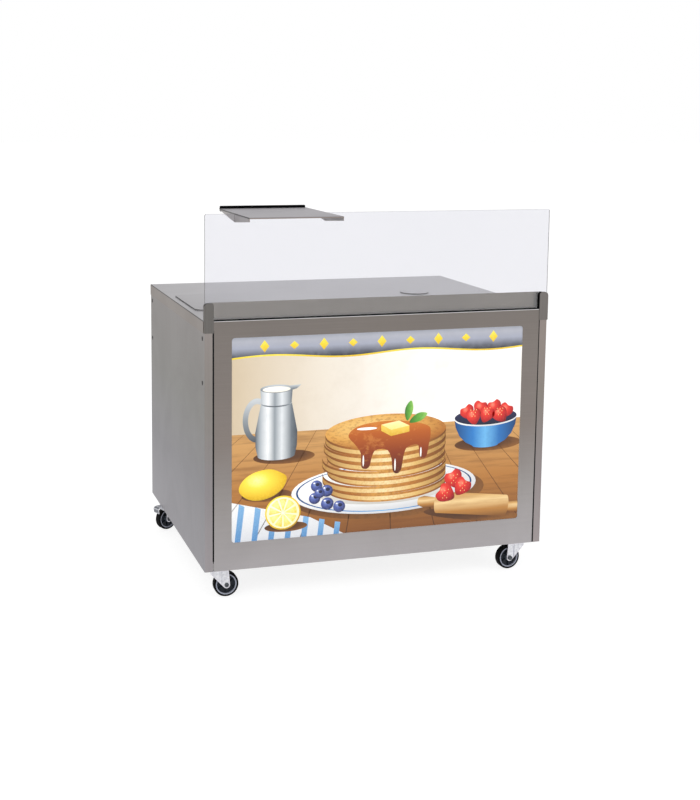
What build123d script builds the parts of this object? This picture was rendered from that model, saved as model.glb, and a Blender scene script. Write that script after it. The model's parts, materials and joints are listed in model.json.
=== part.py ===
from build123d import *
import os
from math import cos, radians, sin

# Cabinet of folded stainless sheet
WIDTH = 1150.0  # over the worktop's side lips
DEPTH = 900.0  # front face to the worktop's back lip
HEIGHT = 886.0  # floor to the worktop's top
SHEET = 1.5
BEND = 1.5  # inside radius of a fold
RETURN = 26.0  # front and back returns of the side panels
SEAM = 3.0  # side return to front panel
LIP = 38.0  # turned-down edge of the worktop
UPSTAND = 55.0  # turned-up front edge of the worktop
UPSTAND_SETBACK = 18.0  # front face to upstand
UPSTAND_END = 3.0  # upstand's ends behind the posts
LEDGE_GAP = 1.0  # front ledge to upstand
LEDGE_TURN = 4.5  # front panel's turned edge, which the ledge continues
SKIRT = 2.5  # side and front panels below the base panel
BASE_FLANGE = 30.0
BASE_CLEAR = 2.0  # base panel's ends to the side panels
RAIL_T = 2.5  # flat bar of the cross rails
RAIL_CLEAR = 10.5  # front cross rail to the light box

# Window, sign and light box
WINDOW_SIDE = 87.0  # cabinet's outer side to the window
WINDOW_HEAD = 54.0  # worktop's top to the window
WINDOW_SILL = 85.0  # cabinet's bottom to the window
WINDOW_R = 10.0
SIGN_LAP = 12.0  # sign beyond the window
SIGN_T = 3.0
BOX_DEPTH = 70.0
BOX_WALL = 1.0
LAMP_R = 13.0
LAMP_END = 40.0  # lamp holder to the end of the light box
HOLDER_X = 14.0
HOLDER_Z = 30.0
HOLDER_RIM = 2.0  # holder's front beyond the lamp
LAMP_SETBACK = 32.0  # sign's back to the lamp's axis
DRIVER_SIZE = (160.0, 28.0, 45.0)
DRIVER_R = 2.0

# Cable gland and light switch in the light box's back
FITTING_RISE = 70.0  # light box's bottom to both
GLAND_FROM_END = 100.0
GLAND_BORE_R = 4.0
GLAND_STUB_R = 8.0
GLAND_STUB = 9.0
GLAND_HEX = 22.0  # across flats
GLAND_HEX_H = 6.0
GLAND_DOME_R = 9.5
GLAND_DOME_H = 12.0
GLAND_DOME_ROUND = 4.0
GLAND_NUT_H = 5.0
GLAND_CLEAR = 0.1
SWITCH_FROM_END = 170.0
SWITCH_W = 26.0
SWITCH_H = 19.0
SWITCH_IN = 16.0
BEZEL_RIM = 3.0
BEZEL_T = 2.5
SWITCH_CLEAR = 0.2
ROCKER_W = 18.0
ROCKER_H = 12.4
ROCKER_ROOM = 1.0  # between rocker and switch, all round
ROCKER_DEEP = 9.0
ROCKER_PIN_R = 1.2
ROCKER_PIN_REACH = 2.2
ROCKER_END = 3.2  # rocker's ends above its pin
ROCKER_DISH = 0.7
ROCKER_TILT = 10.0  # either way, in degrees
ROCKER_RUN = 0.05

# Runners, inner shelf and side rivets
RUNNER_LEG = 25.0
UPPER_RIVET_DROP = 57.0  # worktop's top to the upper rivets
LOWER_RIVET_DROP = 195.0
RIVET_INSET = 30.0  # front face and back lip to the rivets
RIVET_R = 2.5
RIVET_HEAD_R = 4.5
RIVET_HEAD_H = 1.6
RIVET_TAIL_R = 3.6
RIVET_TAIL_H = 3.0
RIVET_CLEAR = 0.1
RUNNER_END = 12.0  # runner's ends to the front face and back returns
TRAY_LIP = 20.0
TRAY_GAP = 36.0  # light box's back to the inner shelf
TRAY_BACK = 30.0  # inner shelf to the worktop's back lip
TRAY_CLEAR = 2.0

# Glass, posts and gaskets
GLASS_RISE = 325.0  # worktop's top to the glass's top
GLASS_T = 6.0
GLASS_R = 6.0
GLASS_GAP = 0.2  # glass to gasket
GASKET = 1.8
GASKET_BASE = 1.5  # gasket under the glass
GASKET_H = 3.0  # lower gasket's height
GASKET_DROP = 6.0  # post's top to the side gaskets
GASKET_CLEAR = 0.5
POST_TAB = 37.0  # post's tab below the worktop's top
POST_R = 12.0  # outer top corner
POST_INNER_R = 8.0
TAB_R = 2.0

# Plate shelf on the glass
SHELF_W = 288.0
SHELF_REACH = 173.0  # in front of the cabinet
SHELF_BEHIND = 212.0  # behind the cabinet's front face
SHELF_INSET = 96.0  # from the cabinet's left side
SHELF_LIP = 4.0
CHEEK_DROP = 27.5
CHEEK_FRONT_DROP = 13.0
CHEEK_BACK_DROP = 4.0
SLOT_GAP = 0.5  # cheek to glass
TRIM_H = 18.0
TRIM_D = 10.0
TRIM_LAP = 6.0  # plate inside the trim
TRIM_INSET = 3.0  # plate beyond the trim's ends
TRIM_R = 4.5
TRIM_CLEAR = 0.1

# Topping pan, its frame and its lid
PAN_W = 205.0
PAN_L = 350.0
PAN_R = 22.0
PAN_INSET = 23.0  # from the cabinet's left side
PAN_FRONT = 217.0  # from the cabinet's front face
PAN_DEPTH = 100.0
PAN_WALL = 1.2
PAN_RIM = 7.5
PAN_RIM_RISE = 2.5  # rim above the worktop
PAN_RIM_R = 1.8
PAN_TAPER = 3.0
PAN_FLOOR_R = 6.0
PAN_CLEAR = 1.0  # rim to the worktop's cut-out
FRAME_T = 2.0
FRAME_BAR = 14.0
FRAME_CLEAR = 3.0  # frame to the pan's wall
LID_T = 1.5
LID_EDGE_R = 0.6
LID_LIP = 2.4  # lip's depth in the pan's mouth
LID_LIP_T = 1.2
LID_CLEAR = 0.6  # lip to the pan's wall
NOTCH_R = 16.0  # spoon notch in the lid's front edge
NOTCH_SIDE = 45.0  # lid's middle to the notch

# Cable collar and its cap
COLLAR_FROM_SIDE = 285.0  # from the cabinet's right side
COLLAR_FRONT = 462.0  # from the cabinet's front face
COLLAR_R = 48.5
COLLAR_WALL = 1.5
COLLAR_RISE = 2.5
COLLAR_DROP = 40.0
COLLAR_FLANGE = 10.0
CAP_T = 1.5
CAP_EDGE_R = 0.6
CAP_SKIRT = 2.0  # skirt's depth round the collar
CAP_WALL = 1.3
CAP_CLEAR = 0.2
CAP_GAP = 0.3  # skirt to the worktop's cut-out
CAP_NOTCH_R = 8.0  # cable notch in the cap's back edge

# Casters
WHEEL_R = 40.0
TRAIL = 27.0  # swivel axis to axle
TYRE_W = 24.0
TYRE_T = 6.4
TYRE_EDGE_R = 3.2
RIM_T = 3.8
RIM_W = 22.6
WEB_T = 10.0
HUB_BOSS_R = 12.0
HUB_W = 30.0
AXLE_R = 4.0
RUN = 0.05  # radial running clearance
LEG_GAP = 0.3  # hub to fork leg
FORK_T = 2.5
FORK_BEND = 2.0
FORK_SKIRT = 9.0  # depth of the crown's sides
CROWN_LEAD = 25.0  # crown ahead of the swivel axis
CROWN_GAP = 6.0  # tyre to crown
EYE_R = 11.0
EYE_STEP = 4.5  # the leg's top inside the eye's edge
CREASE = 16.0  # axle to the leg's pressed step
CREASE_RISE = 0.8
AXLE_HEAD_R = 7.0
AXLE_HEAD_H = 2.2
AXLE_SOCKET_R = 4.2
AXLE_SOCKET_H = 1.6
AXLE_NUT = 13.0
AXLE_NUT_H = 6.0
RACE_R = 25.0
RACE_H = 8.5
RACE_BORE_R = 14.0
RACE_GAP = 0.2
RACE_STEP_R = 20.0
RACE_STEP_H = 3.0
KINGPIN_R = 5.0
KINGPIN_HEAD_R = 8.0
KINGPIN_HEAD_H = 3.4
PLATE_L = 90.0
PLATE_W = 66.0
PLATE_T = 3.0
PLATE_R = 8.0
BOLT_X = 70.0
BOLT_Y = 46.0
BOLT_R = 4.0
BOLT_HOLE_R = 4.25
BOLT_HEX = 13.0
BOLT_HEAD_H = 5.3
BOLT_END = 3.0  # bolt beyond its nut
NUT_H = 6.5
BACKING_T = 3.0
CASTER_SIDE = 52.0  # from the worktop's side lip to the swivel axis
CASTER_RIGHT = 70.0  # the same at the front right
CASTER_FRONT = 48.0
CASTER_BACK = 133.0
LEFT_TURN = -1.0  # front casters' turn out of line with the front, in degrees
RIGHT_TURN = 4.0
REAR_SPLAY = 24.0  # rear casters' turn towards the front, in degrees

# Brake pedals on the rear casters
PEDAL_BEARING = 62.0  # axle to the pedal's pin, in degrees above level
PEDAL_TURN = 18.0  # pressed, in degrees
BRAKE_GAP = 0.4  # tyre to the pressed lobe
PEDAL_HUB_R = 6.0
PEDAL_PIN_R = 2.5
PEDAL_PIN_END = 1.0
PEDAL_T = 2.5
PEDAL_SIDE = 0.5  # pedal's hub to fork leg
PEDAL_OUT = 24.0  # pin to the pedal's end
PEDAL_FLAT = 14.0
PEDAL_FALL = 5.5
PEDAL_TOE = 18.0
PEDAL_TOE_IN = 4.0
PEDAL_BEND = 5.0
LOBE_R = 2.4
LOBE_AT = 6.0
EAR_ROOT = 12.0  # pedal arm's start along the crown

# Levels and planes worked out from the sizes above
HALF = WIDTH / 2
SIDE_OUT = HALF - SHEET
SIDE_IN = SIDE_OUT - SHEET
FRONT = (SHELF_REACH - DEPTH) / 2
BACK = FRONT + DEPTH
BACK_IN = BACK - SHEET
CROWN_Z = 2 * WHEEL_R + CROWN_GAP
CROWN_TOP = CROWN_Z + FORK_T
PLATE_Z = CROWN_TOP + RACE_H
BOTTOM = PLATE_Z + PLATE_T
SKIRT_Z = BOTTOM - SKIRT
UNDER = HEIGHT - SHEET
SIDE_TOP = UNDER - BEND
PANEL_HALF = SIDE_OUT - RETURN - SEAM
POST_TOP = HEIGHT + UPSTAND
CHANNEL = GLASS_T + 2 * (GASKET + GLASS_GAP)
POST_BACK = FRONT + CHANNEL + SHEET
GLASS_Y = FRONT + CHANNEL / 2
GLASS_HALF = HALF - SHEET - GASKET - GLASS_GAP
GLASS_BOTTOM = HEIGHT + GASKET_BASE
GLASS_TOP = HEIGHT + GLASS_RISE
WINDOW_W = WIDTH - 2 * WINDOW_SIDE
WINDOW_H = HEIGHT - WINDOW_HEAD - BOTTOM - WINDOW_SILL
WINDOW_Z = BOTTOM + WINDOW_SILL + WINDOW_H / 2
SIGN_W = WINDOW_W + 2 * SIGN_LAP
SIGN_H = WINDOW_H + 2 * SIGN_LAP
SIGN_BACK = FRONT + SHEET + SIGN_T
BOX_BACK = SIGN_BACK + BOX_DEPTH
BOX_BOTTOM = WINDOW_Z - SIGN_H / 2
FITTING_Z = BOX_BOTTOM + FITTING_RISE
GLAND_X = SIGN_W / 2 - GLAND_FROM_END
SWITCH_X = SIGN_W / 2 - SWITCH_FROM_END
PAN_X = PAN_INSET + PAN_W / 2 - HALF
PAN_Y = FRONT + PAN_FRONT + PAN_L / 2
COLLAR_X = HALF - COLLAR_FROM_SIDE
COLLAR_Y = FRONT + COLLAR_FRONT
CAP_R = COLLAR_R + CAP_CLEAR + CAP_WALL
TRAY_Z = HEIGHT - LOWER_RIVET_DROP + RUNNER_LEG / 2
LEG_IN = HUB_W / 2 + LEG_GAP
LEG_OUT = LEG_IN + FORK_T


def front_view(y):
    """Plane facing the front at depth y, with X across and Z up."""
    return Plane.XZ.offset(-y)


def folded(points, radii, side):
    """Section of a folded sheet with one face along the points."""
    with BuildSketch() as section:
        with BuildLine():
            FilletPolyline(*points, radius=radii)
            offset(amount=SHEET, side=side)
        make_face()
    return section.sketch


def save(piece, name):
    """Label a finished piece and write its file."""
    piece.part.label = name
    export_step(piece.part, f"parts/{name}.step")


os.makedirs("parts", exist_ok=True)
OUTER_BEND = BEND + SHEET
RIVET_SPOTS = [
    (y, HEIGHT - drop)
    for y in (FRONT + RIVET_INSET, BACK - RIVET_INSET)
    for drop in (UPPER_RIVET_DROP, LOWER_RIVET_DROP)
]

# Side panels, channels seen from above, open towards the middle
for name, hand, side in (("left_side", -1, Side.RIGHT), ("right_side", 1, Side.LEFT)):
    with BuildPart() as side_panel:
        with BuildSketch(Plane.XY.offset(SKIRT_Z)):
            outline = [
                (hand * (SIDE_OUT - RETURN), FRONT),
                (hand * SIDE_OUT, FRONT),
                (hand * SIDE_OUT, BACK_IN),
                (hand * (SIDE_OUT - RETURN), BACK_IN),
            ]
            add(folded(outline, OUTER_BEND, side))
        extrude(amount=SIDE_TOP - SKIRT_Z)
        with BuildSketch(Plane.YZ.offset(hand * SIDE_OUT)):
            with Locations(*RIVET_SPOTS):
                Circle(RIVET_R + RIVET_CLEAR)
        extrude(amount=-hand * SHEET, mode=Mode.SUBTRACT)
    save(side_panel, name)

# Caster places: name, X, Y, heading of the trailing wheel in degrees, braked
CASTERS = (
    ("front_left", CASTER_SIDE - HALF, FRONT + CASTER_FRONT, LEFT_TURN, False),
    ("front_right", HALF - CASTER_RIGHT, FRONT + CASTER_FRONT, 180.0 + RIGHT_TURN, False),
    ("rear_left", CASTER_SIDE - HALF, BACK - CASTER_BACK, 180.0 + REAR_SPLAY, True),
    ("rear_right", HALF - CASTER_SIDE, BACK - CASTER_BACK, -REAR_SPLAY, True),
)
BOLT_SPOTS = [
    (x + i * BOLT_X / 2, y + j * BOLT_Y / 2)
    for _, x, y, _, _ in CASTERS
    for i in (-1, 1)
    for j in (-1, 1)
]

# Base panel with turned-up front and back flanges
with BuildPart() as base_panel:
    with BuildSketch(Plane.YZ):
        trough = [
            (FRONT + SHEET, BOTTOM + BASE_FLANGE),
            (FRONT + SHEET, BOTTOM),
            (BACK_IN - SHEET, BOTTOM),
            (BACK_IN - SHEET, BOTTOM + BASE_FLANGE),
        ]
        add(folded(trough, OUTER_BEND, Side.LEFT))
    extrude(amount=SIDE_IN - BASE_CLEAR, both=True)
    with BuildSketch(Plane.XY.offset(BOTTOM)):
        with Locations(*BOLT_SPOTS):
            Circle(BOLT_HOLE_R)
    extrude(amount=SHEET, mode=Mode.SUBTRACT)
save(base_panel, "base_panel")

# Worktop: a shallow cap with rounded folds, then the upstand between the posts
UPSTAND_HALF = PANEL_HALF + UPSTAND_END
UPSTAND_Y = FRONT + UPSTAND_SETBACK + SHEET
with BuildPart() as worktop:
    with BuildSketch(Plane.XY.offset(HEIGHT - LIP)):
        with Locations((0, POST_BACK)):
            Rectangle(WIDTH, BACK - POST_BACK, align=(Align.CENTER, Align.MIN))
    extrude(amount=LIP)
    folds = worktop.faces().sort_by(Axis.Z)[-1].edges().sort_by(Axis.Y)[1:]
    corners = worktop.edges().filter_by(Axis.Z).group_by(Axis.Y)[-1]
    fillet(folds + corners, OUTER_BEND)
    open_faces = [worktop.faces().sort_by(Axis.Z)[0], worktop.faces().sort_by(Axis.Y)[0]]
    offset(amount=-SHEET, openings=open_faces)
    with BuildSketch(Plane.XY.offset(UNDER)):
        with Locations((0, POST_BACK)):
            Rectangle(
                2 * (UPSTAND_HALF + LEDGE_GAP),
                UPSTAND_Y + OUTER_BEND - POST_BACK,
                align=(Align.CENTER, Align.MIN),
            )
        with Locations((PAN_X, PAN_Y)):
            RectangleRounded(PAN_W + 2 * PAN_CLEAR, PAN_L + 2 * PAN_CLEAR, PAN_R + PAN_CLEAR)
        with Locations((COLLAR_X, COLLAR_Y)):
            Circle(CAP_R + CAP_GAP)
    extrude(amount=SHEET, mode=Mode.SUBTRACT)
    with BuildSketch(Plane.YZ):
        rise = [(UPSTAND_Y, POST_TOP), (UPSTAND_Y, HEIGHT), (UPSTAND_Y + 2 * OUTER_BEND, HEIGHT)]
        add(folded(rise, BEND, Side.RIGHT))
    extrude(amount=UPSTAND_HALF, both=True)
save(worktop, "worktop")

# Front panel with its window, and the ledge that continues its top edge
with BuildPart() as front_panel:
    with BuildSketch(Plane.YZ):
        face = [(FRONT, SKIRT_Z), (FRONT, HEIGHT), (FRONT + LEDGE_TURN, HEIGHT)]
        add(folded(face, OUTER_BEND, Side.RIGHT))
    extrude(amount=PANEL_HALF, both=True)
    with BuildSketch(front_view(FRONT)):
        with Locations((0, WINDOW_Z)):
            RectangleRounded(WINDOW_W, WINDOW_H, WINDOW_R)
    extrude(amount=-SHEET, mode=Mode.SUBTRACT)
save(front_panel, "front_panel")

with BuildPart() as front_ledge:
    with BuildSketch(Plane.XY.offset(UNDER)):
        with Locations((0, FRONT + LEDGE_TURN)):
            Rectangle(
                2 * PANEL_HALF,
                UPSTAND_SETBACK - LEDGE_GAP - LEDGE_TURN,
                align=(Align.CENTER, Align.MIN),
            )
    extrude(amount=SHEET)
save(front_ledge, "front_ledge")

# Flat cross rails under the worktop, behind the front panel and across the open back
RAIL_H = WINDOW_HEAD - SIGN_LAP - SHEET - BEND - RAIL_CLEAR
RAIL_HALF = SIDE_IN - BASE_CLEAR
with BuildPart() as cross_rails:
    for y in (FRONT + SHEET, BACK_IN - SHEET - RAIL_T):
        with BuildSketch(front_view(y)):
            with Locations((0, SIDE_TOP)):
                Rectangle(2 * RAIL_HALF, RAIL_H, align=(Align.CENTER, Align.MAX))
        extrude(amount=-RAIL_T)
save(cross_rails, "cross_rails")

# Runners on both sides, held by the rivets
RUNNER_FRONT = FRONT + RUNNER_END
RUNNER_BACK = BACK_IN - SHEET - RUNNER_END
for name, drop in (("upper_runners", UPPER_RIVET_DROP), ("lower_runners", LOWER_RIVET_DROP)):
    with BuildPart() as runners:
        low = HEIGHT - drop - RUNNER_LEG / 2
        for hand, side in ((-1, Side.RIGHT), (1, Side.LEFT)):
            with BuildSketch(front_view(RUNNER_FRONT)):
                angle = [
                    (hand * SIDE_IN, low),
                    (hand * SIDE_IN, low + RUNNER_LEG),
                    (hand * (SIDE_IN - RUNNER_LEG), low + RUNNER_LEG),
                ]
                add(folded(angle, OUTER_BEND, side))
            extrude(amount=RUNNER_FRONT - RUNNER_BACK)
            with BuildSketch(Plane.YZ.offset(hand * SIDE_IN)):
                with Locations(*[spot for spot in RIVET_SPOTS if spot[1] == HEIGHT - drop]):
                    Circle(RIVET_R + RIVET_CLEAR)
            extrude(amount=-hand * SHEET, mode=Mode.SUBTRACT)
    save(runners, name)

# Dome-headed rivets through the side panels and runners
with BuildPart() as side_rivets:
    for hand in (-1, 1):
        for y, z in RIVET_SPOTS:
            with BuildSketch(Plane((hand * SIDE_OUT, y, z), x_dir=(hand, 0, 0), z_dir=(0, 0, 1))):
                with BuildLine():
                    Polyline(
                        (0, RIVET_HEAD_R),
                        (0, RIVET_R),
                        (-2 * SHEET, RIVET_R),
                        (-2 * SHEET, RIVET_TAIL_R),
                        (-2 * SHEET - RIVET_TAIL_H, RIVET_R),
                        (-2 * SHEET - RIVET_TAIL_H, 0),
                        (RIVET_HEAD_H, 0),
                    )
                    TangentArc((RIVET_HEAD_H, 0), (0, RIVET_HEAD_R), tangent=(0, 1))
                make_face()
            revolve(axis=Axis((0, y, z), (1, 0, 0)))
save(side_rivets, "side_rivets")

# Inner shelf on the lower runners, with lips between them
TRAY_FRONT = BOX_BACK + TRAY_GAP
TRAY_END = BACK - TRAY_BACK
with BuildPart() as inner_shelf:
    with BuildSketch(Plane.YZ):
        tray = [
            (TRAY_FRONT, TRAY_Z - TRAY_LIP),
            (TRAY_FRONT, TRAY_Z + SHEET),
            (TRAY_END, TRAY_Z + SHEET),
            (TRAY_END, TRAY_Z - TRAY_LIP),
        ]
        add(folded(tray, OUTER_BEND, Side.RIGHT))
    extrude(amount=SIDE_IN - RUNNER_LEG - TRAY_CLEAR, both=True)
    with BuildSketch(Plane.XY.offset(TRAY_Z)):
        with Locations((0, (TRAY_FRONT + TRAY_END) / 2)):
            Rectangle(2 * (SIDE_IN - TRAY_CLEAR), TRAY_END - TRAY_FRONT - 2 * OUTER_BEND)
    extrude(amount=SHEET)
save(inner_shelf, "inner_shelf")

# Corner posts: channels open towards the middle, with a tab over the side return
for name, hand, outward in (("left_post", -1, -Axis.X), ("right_post", 1, Axis.X)):
    with BuildPart() as post:
        with BuildSketch(front_view(FRONT - SHEET)) as channel:
            with Locations((hand * (PANEL_HALF + HALF) / 2, (UNDER + POST_TOP) / 2)):
                Rectangle(HALF - PANEL_HALF, POST_TOP - UNDER)
            fillet(channel.vertices().group_by(Axis.Y)[-1].sort_by(outward)[-1], POST_R)
            fillet(channel.vertices().group_by(Axis.Y)[-1].sort_by(outward)[0], POST_INNER_R)
        extrude(amount=-CHANNEL - 2 * SHEET)
        with BuildSketch(front_view(FRONT - SHEET)) as tab:
            with Locations((hand * (PANEL_HALF + HALF) / 2, UNDER)):
                Rectangle(
                    HALF - PANEL_HALF,
                    POST_TAB - SHEET,
                    align=(Align.CENTER, Align.MAX),
                )
            fillet(tab.vertices().group_by(Axis.Y)[0], TAB_R)
        extrude(amount=-SHEET)
        with BuildSketch(Plane.XY.offset(HEIGHT)):
            with Locations((hand * (PANEL_HALF + HALF - SHEET) / 2, GLASS_Y)):
                Rectangle(HALF - SHEET - PANEL_HALF, CHANNEL)
        extrude(amount=UPSTAND, mode=Mode.SUBTRACT)
    save(post, name)

# Black gaskets: a channel in each post and one under the glass
with BuildPart() as glass_gaskets:
    for hand in (-1, 1):
        with BuildSketch(Plane.XY.offset(HEIGHT)):
            with Locations((hand * (PANEL_HALF + HALF - SHEET) / 2, GLASS_Y)):
                Rectangle(HALF - SHEET - PANEL_HALF, CHANNEL)
            with Locations((hand * (PANEL_HALF + GLASS_HALF + GLASS_GAP) / 2, GLASS_Y)):
                Rectangle(
                    GLASS_HALF + GLASS_GAP - PANEL_HALF,
                    GLASS_T + 2 * GLASS_GAP,
                    mode=Mode.SUBTRACT,
                )
        extrude(amount=UPSTAND - GASKET_DROP)
    with BuildSketch(Plane.YZ):
        with Locations((GLASS_Y, HEIGHT)):
            Rectangle(CHANNEL, GASKET_H, align=(Align.CENTER, Align.MIN))
        with Locations((GLASS_Y, GLASS_BOTTOM)):
            Rectangle(
                GLASS_T + 2 * GLASS_GAP,
                GASKET_H,
                align=(Align.CENTER, Align.MIN),
                mode=Mode.SUBTRACT,
            )
    extrude(amount=PANEL_HALF - GASKET_CLEAR, both=True)
save(glass_gaskets, "glass_gaskets")

# Glass screen standing in the gaskets
with BuildPart() as glass_panel:
    with BuildSketch(front_view(GLASS_Y - GLASS_T / 2)) as pane:
        with Locations((0, GLASS_BOTTOM)):
            Rectangle(2 * GLASS_HALF, GLASS_TOP - GLASS_BOTTOM, align=(Align.CENTER, Align.MIN))
        fillet(pane.vertices().group_by(Axis.Y)[-1], GLASS_R)
    extrude(amount=-GLASS_T)
save(glass_panel, "glass_panel")

# Plate shelf: plate, front lip and two notched cheeks that straddle the glass
SHELF_LEFT = SHELF_INSET - HALF
SHELF_X = SHELF_LEFT + SHELF_W / 2
SHELF_Y0 = FRONT - SHELF_REACH
SHELF_Y1 = FRONT + SHELF_BEHIND
SHELF_TOP = GLASS_TOP + SHEET
with BuildPart() as plate_shelf:
    with BuildSketch(Plane.YZ.offset(SHELF_LEFT)):
        plate = [(SHELF_Y0, SHELF_TOP - SHELF_LIP), (SHELF_Y0, SHELF_TOP), (SHELF_Y1, SHELF_TOP)]
        add(folded(plate, OUTER_BEND, Side.RIGHT))
    extrude(amount=SHELF_W)
    for x in (SHELF_LEFT, SHELF_LEFT + SHELF_W - SHEET):
        with BuildSketch(Plane.YZ.offset(x)):
            with BuildLine():
                Polyline(
                    (SHELF_Y0 + OUTER_BEND, SHELF_TOP - SHEET / 2),
                    (SHELF_Y0 + SHEET / 2, SHELF_TOP - OUTER_BEND),
                    (SHELF_Y0 + SHEET / 2, SHELF_TOP - CHEEK_FRONT_DROP),
                    (GLASS_Y, SHELF_TOP - CHEEK_DROP),
                    (SHELF_Y1 - TRIM_D, SHELF_TOP - CHEEK_BACK_DROP),
                    (SHELF_Y1 - TRIM_D, SHELF_TOP - SHEET / 2),
                    close=True,
                )
            make_face()
            with Locations((GLASS_Y, GLASS_TOP)):
                Rectangle(
                    GLASS_T + 2 * SLOT_GAP,
                    CHEEK_DROP,
                    align=(Align.CENTER, Align.MAX),
                    mode=Mode.SUBTRACT,
                )
        extrude(amount=SHEET)
save(plate_shelf, "plate_shelf")

# Rounded black trim pushed over the shelf's back edge
with BuildPart() as shelf_edge_trim:
    with BuildSketch(Plane.YZ.offset(SHELF_X)):
        with Locations((SHELF_Y1 - TRIM_LAP + TRIM_D / 2, SHELF_TOP - SHEET / 2)):
            RectangleRounded(TRIM_D, TRIM_H, TRIM_R)
    extrude(amount=SHELF_W / 2 - TRIM_INSET, both=True)
    fillet(shelf_edge_trim.faces().filter_by(Axis.X).edges(), TRIM_R / 2)
    with BuildSketch(Plane.YZ.offset(SHELF_X)):
        with Locations((SHELF_Y1, SHELF_TOP - SHEET / 2)):
            Rectangle(
                2 * TRIM_D,
                SHEET + 2 * TRIM_CLEAR,
                align=(Align.MAX, Align.CENTER),
            )
    extrude(amount=SHELF_W / 2, both=True, mode=Mode.SUBTRACT)
save(shelf_edge_trim, "shelf_edge_trim")

# Frame under the worktop's cut-out that carries the pan's rim
with BuildPart() as pan_frame:
    with BuildSketch(Plane.XY.offset(UNDER - FRAME_T)):
        with Locations((PAN_X, PAN_Y)):
            RectangleRounded(PAN_W + FRAME_BAR, PAN_L + FRAME_BAR, PAN_R + FRAME_BAR / 2)
            RectangleRounded(
                PAN_W - 2 * (PAN_RIM - FRAME_CLEAR),
                PAN_L - 2 * (PAN_RIM - FRAME_CLEAR),
                PAN_R - PAN_RIM + FRAME_CLEAR,
                mode=Mode.SUBTRACT,
            )
    extrude(amount=FRAME_T)
save(pan_frame, "pan_frame")

# Drop-in pan with a rolled rim
PAN_BODY_W = PAN_W - 2 * PAN_RIM
PAN_BODY_L = PAN_L - 2 * PAN_RIM
PAN_BODY_R = PAN_R - PAN_RIM
PAN_TOP = HEIGHT + PAN_RIM_RISE
with BuildPart() as pan_hollow:
    with BuildSketch(Plane.XY.offset(UNDER)):
        with Locations((PAN_X, PAN_Y)):
            RectangleRounded(
                PAN_BODY_W - 2 * PAN_WALL,
                PAN_BODY_L - 2 * PAN_WALL,
                PAN_BODY_R - PAN_WALL,
            )
    extrude(amount=PAN_WALL - PAN_DEPTH, taper=PAN_TAPER)
    fillet(pan_hollow.faces().sort_by(Axis.Z)[0].edges(), PAN_FLOOR_R - PAN_WALL)
    extrude(pan_hollow.faces().sort_by(Axis.Z)[-1], amount=PAN_TOP - UNDER)

with BuildPart() as topping_pan:
    with BuildSketch(Plane.XY.offset(UNDER)):
        with Locations((PAN_X, PAN_Y)):
            RectangleRounded(PAN_W, PAN_L, PAN_R)
    extrude(amount=PAN_TOP - UNDER)
    fillet(topping_pan.faces().sort_by(Axis.Z)[-1].edges(), PAN_RIM_R)
    with BuildSketch(Plane.XY.offset(UNDER)):
        with Locations((PAN_X, PAN_Y)):
            RectangleRounded(PAN_BODY_W, PAN_BODY_L, PAN_BODY_R)
    extrude(amount=-PAN_DEPTH, taper=PAN_TAPER)
    fillet(topping_pan.faces().sort_by(Axis.Z)[0].edges(), PAN_FLOOR_R)
    add(pan_hollow.part, mode=Mode.SUBTRACT)
save(topping_pan, "topping_pan")

# Lid on the pan's rim, with a lip in its mouth and a notch for a spoon
MOUTH = 2 * (PAN_WALL + LID_CLEAR)
with BuildPart() as pan_lid:
    with BuildSketch(Plane.XY.offset(PAN_TOP)):
        with Locations((PAN_X, PAN_Y)):
            RectangleRounded(PAN_W, PAN_L, PAN_R)
    extrude(amount=LID_T)
    fillet(pan_lid.faces().sort_by(Axis.Z)[-1].edges(), LID_EDGE_R)
    with BuildSketch(Plane.XY.offset(PAN_TOP)):
        with Locations((PAN_X, PAN_Y)):
            RectangleRounded(PAN_BODY_W - MOUTH, PAN_BODY_L - MOUTH, PAN_BODY_R - MOUTH / 2)
            RectangleRounded(
                PAN_BODY_W - MOUTH - 2 * LID_LIP_T,
                PAN_BODY_L - MOUTH - 2 * LID_LIP_T,
                PAN_BODY_R - MOUTH / 2 - LID_LIP_T,
                mode=Mode.SUBTRACT,
            )
    extrude(amount=-LID_LIP)
    with BuildSketch(Plane.XY.offset(PAN_TOP - LID_LIP)):
        with Locations((PAN_X + NOTCH_SIDE, PAN_Y - PAN_L / 2)):
            Circle(NOTCH_R)
    extrude(amount=LID_LIP + LID_T, mode=Mode.SUBTRACT)
save(pan_lid, "pan_lid")

# Collar through the worktop, with a rolled rim above and a flange below
with BuildPart() as cable_collar:
    with BuildSketch(Plane.XY.offset(UNDER - COLLAR_DROP)):
        with Locations((COLLAR_X, COLLAR_Y)):
            Circle(COLLAR_R)
    extrude(amount=COLLAR_DROP + SHEET + COLLAR_RISE)
    with BuildSketch(Plane.XY.offset(UNDER - SHEET)):
        with Locations((COLLAR_X, COLLAR_Y)):
            Circle(COLLAR_R + COLLAR_FLANGE)
    extrude(amount=SHEET)
    fillet(cable_collar.edges().sort_by(Axis.Z)[-1], COLLAR_WALL / 2)
    with BuildSketch(Plane.XY.offset(UNDER - COLLAR_DROP)):
        with Locations((COLLAR_X, COLLAR_Y)):
            Circle(COLLAR_R - COLLAR_WALL)
    extrude(amount=COLLAR_DROP + SHEET + COLLAR_RISE, mode=Mode.SUBTRACT)
save(cable_collar, "cable_collar")

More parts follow.
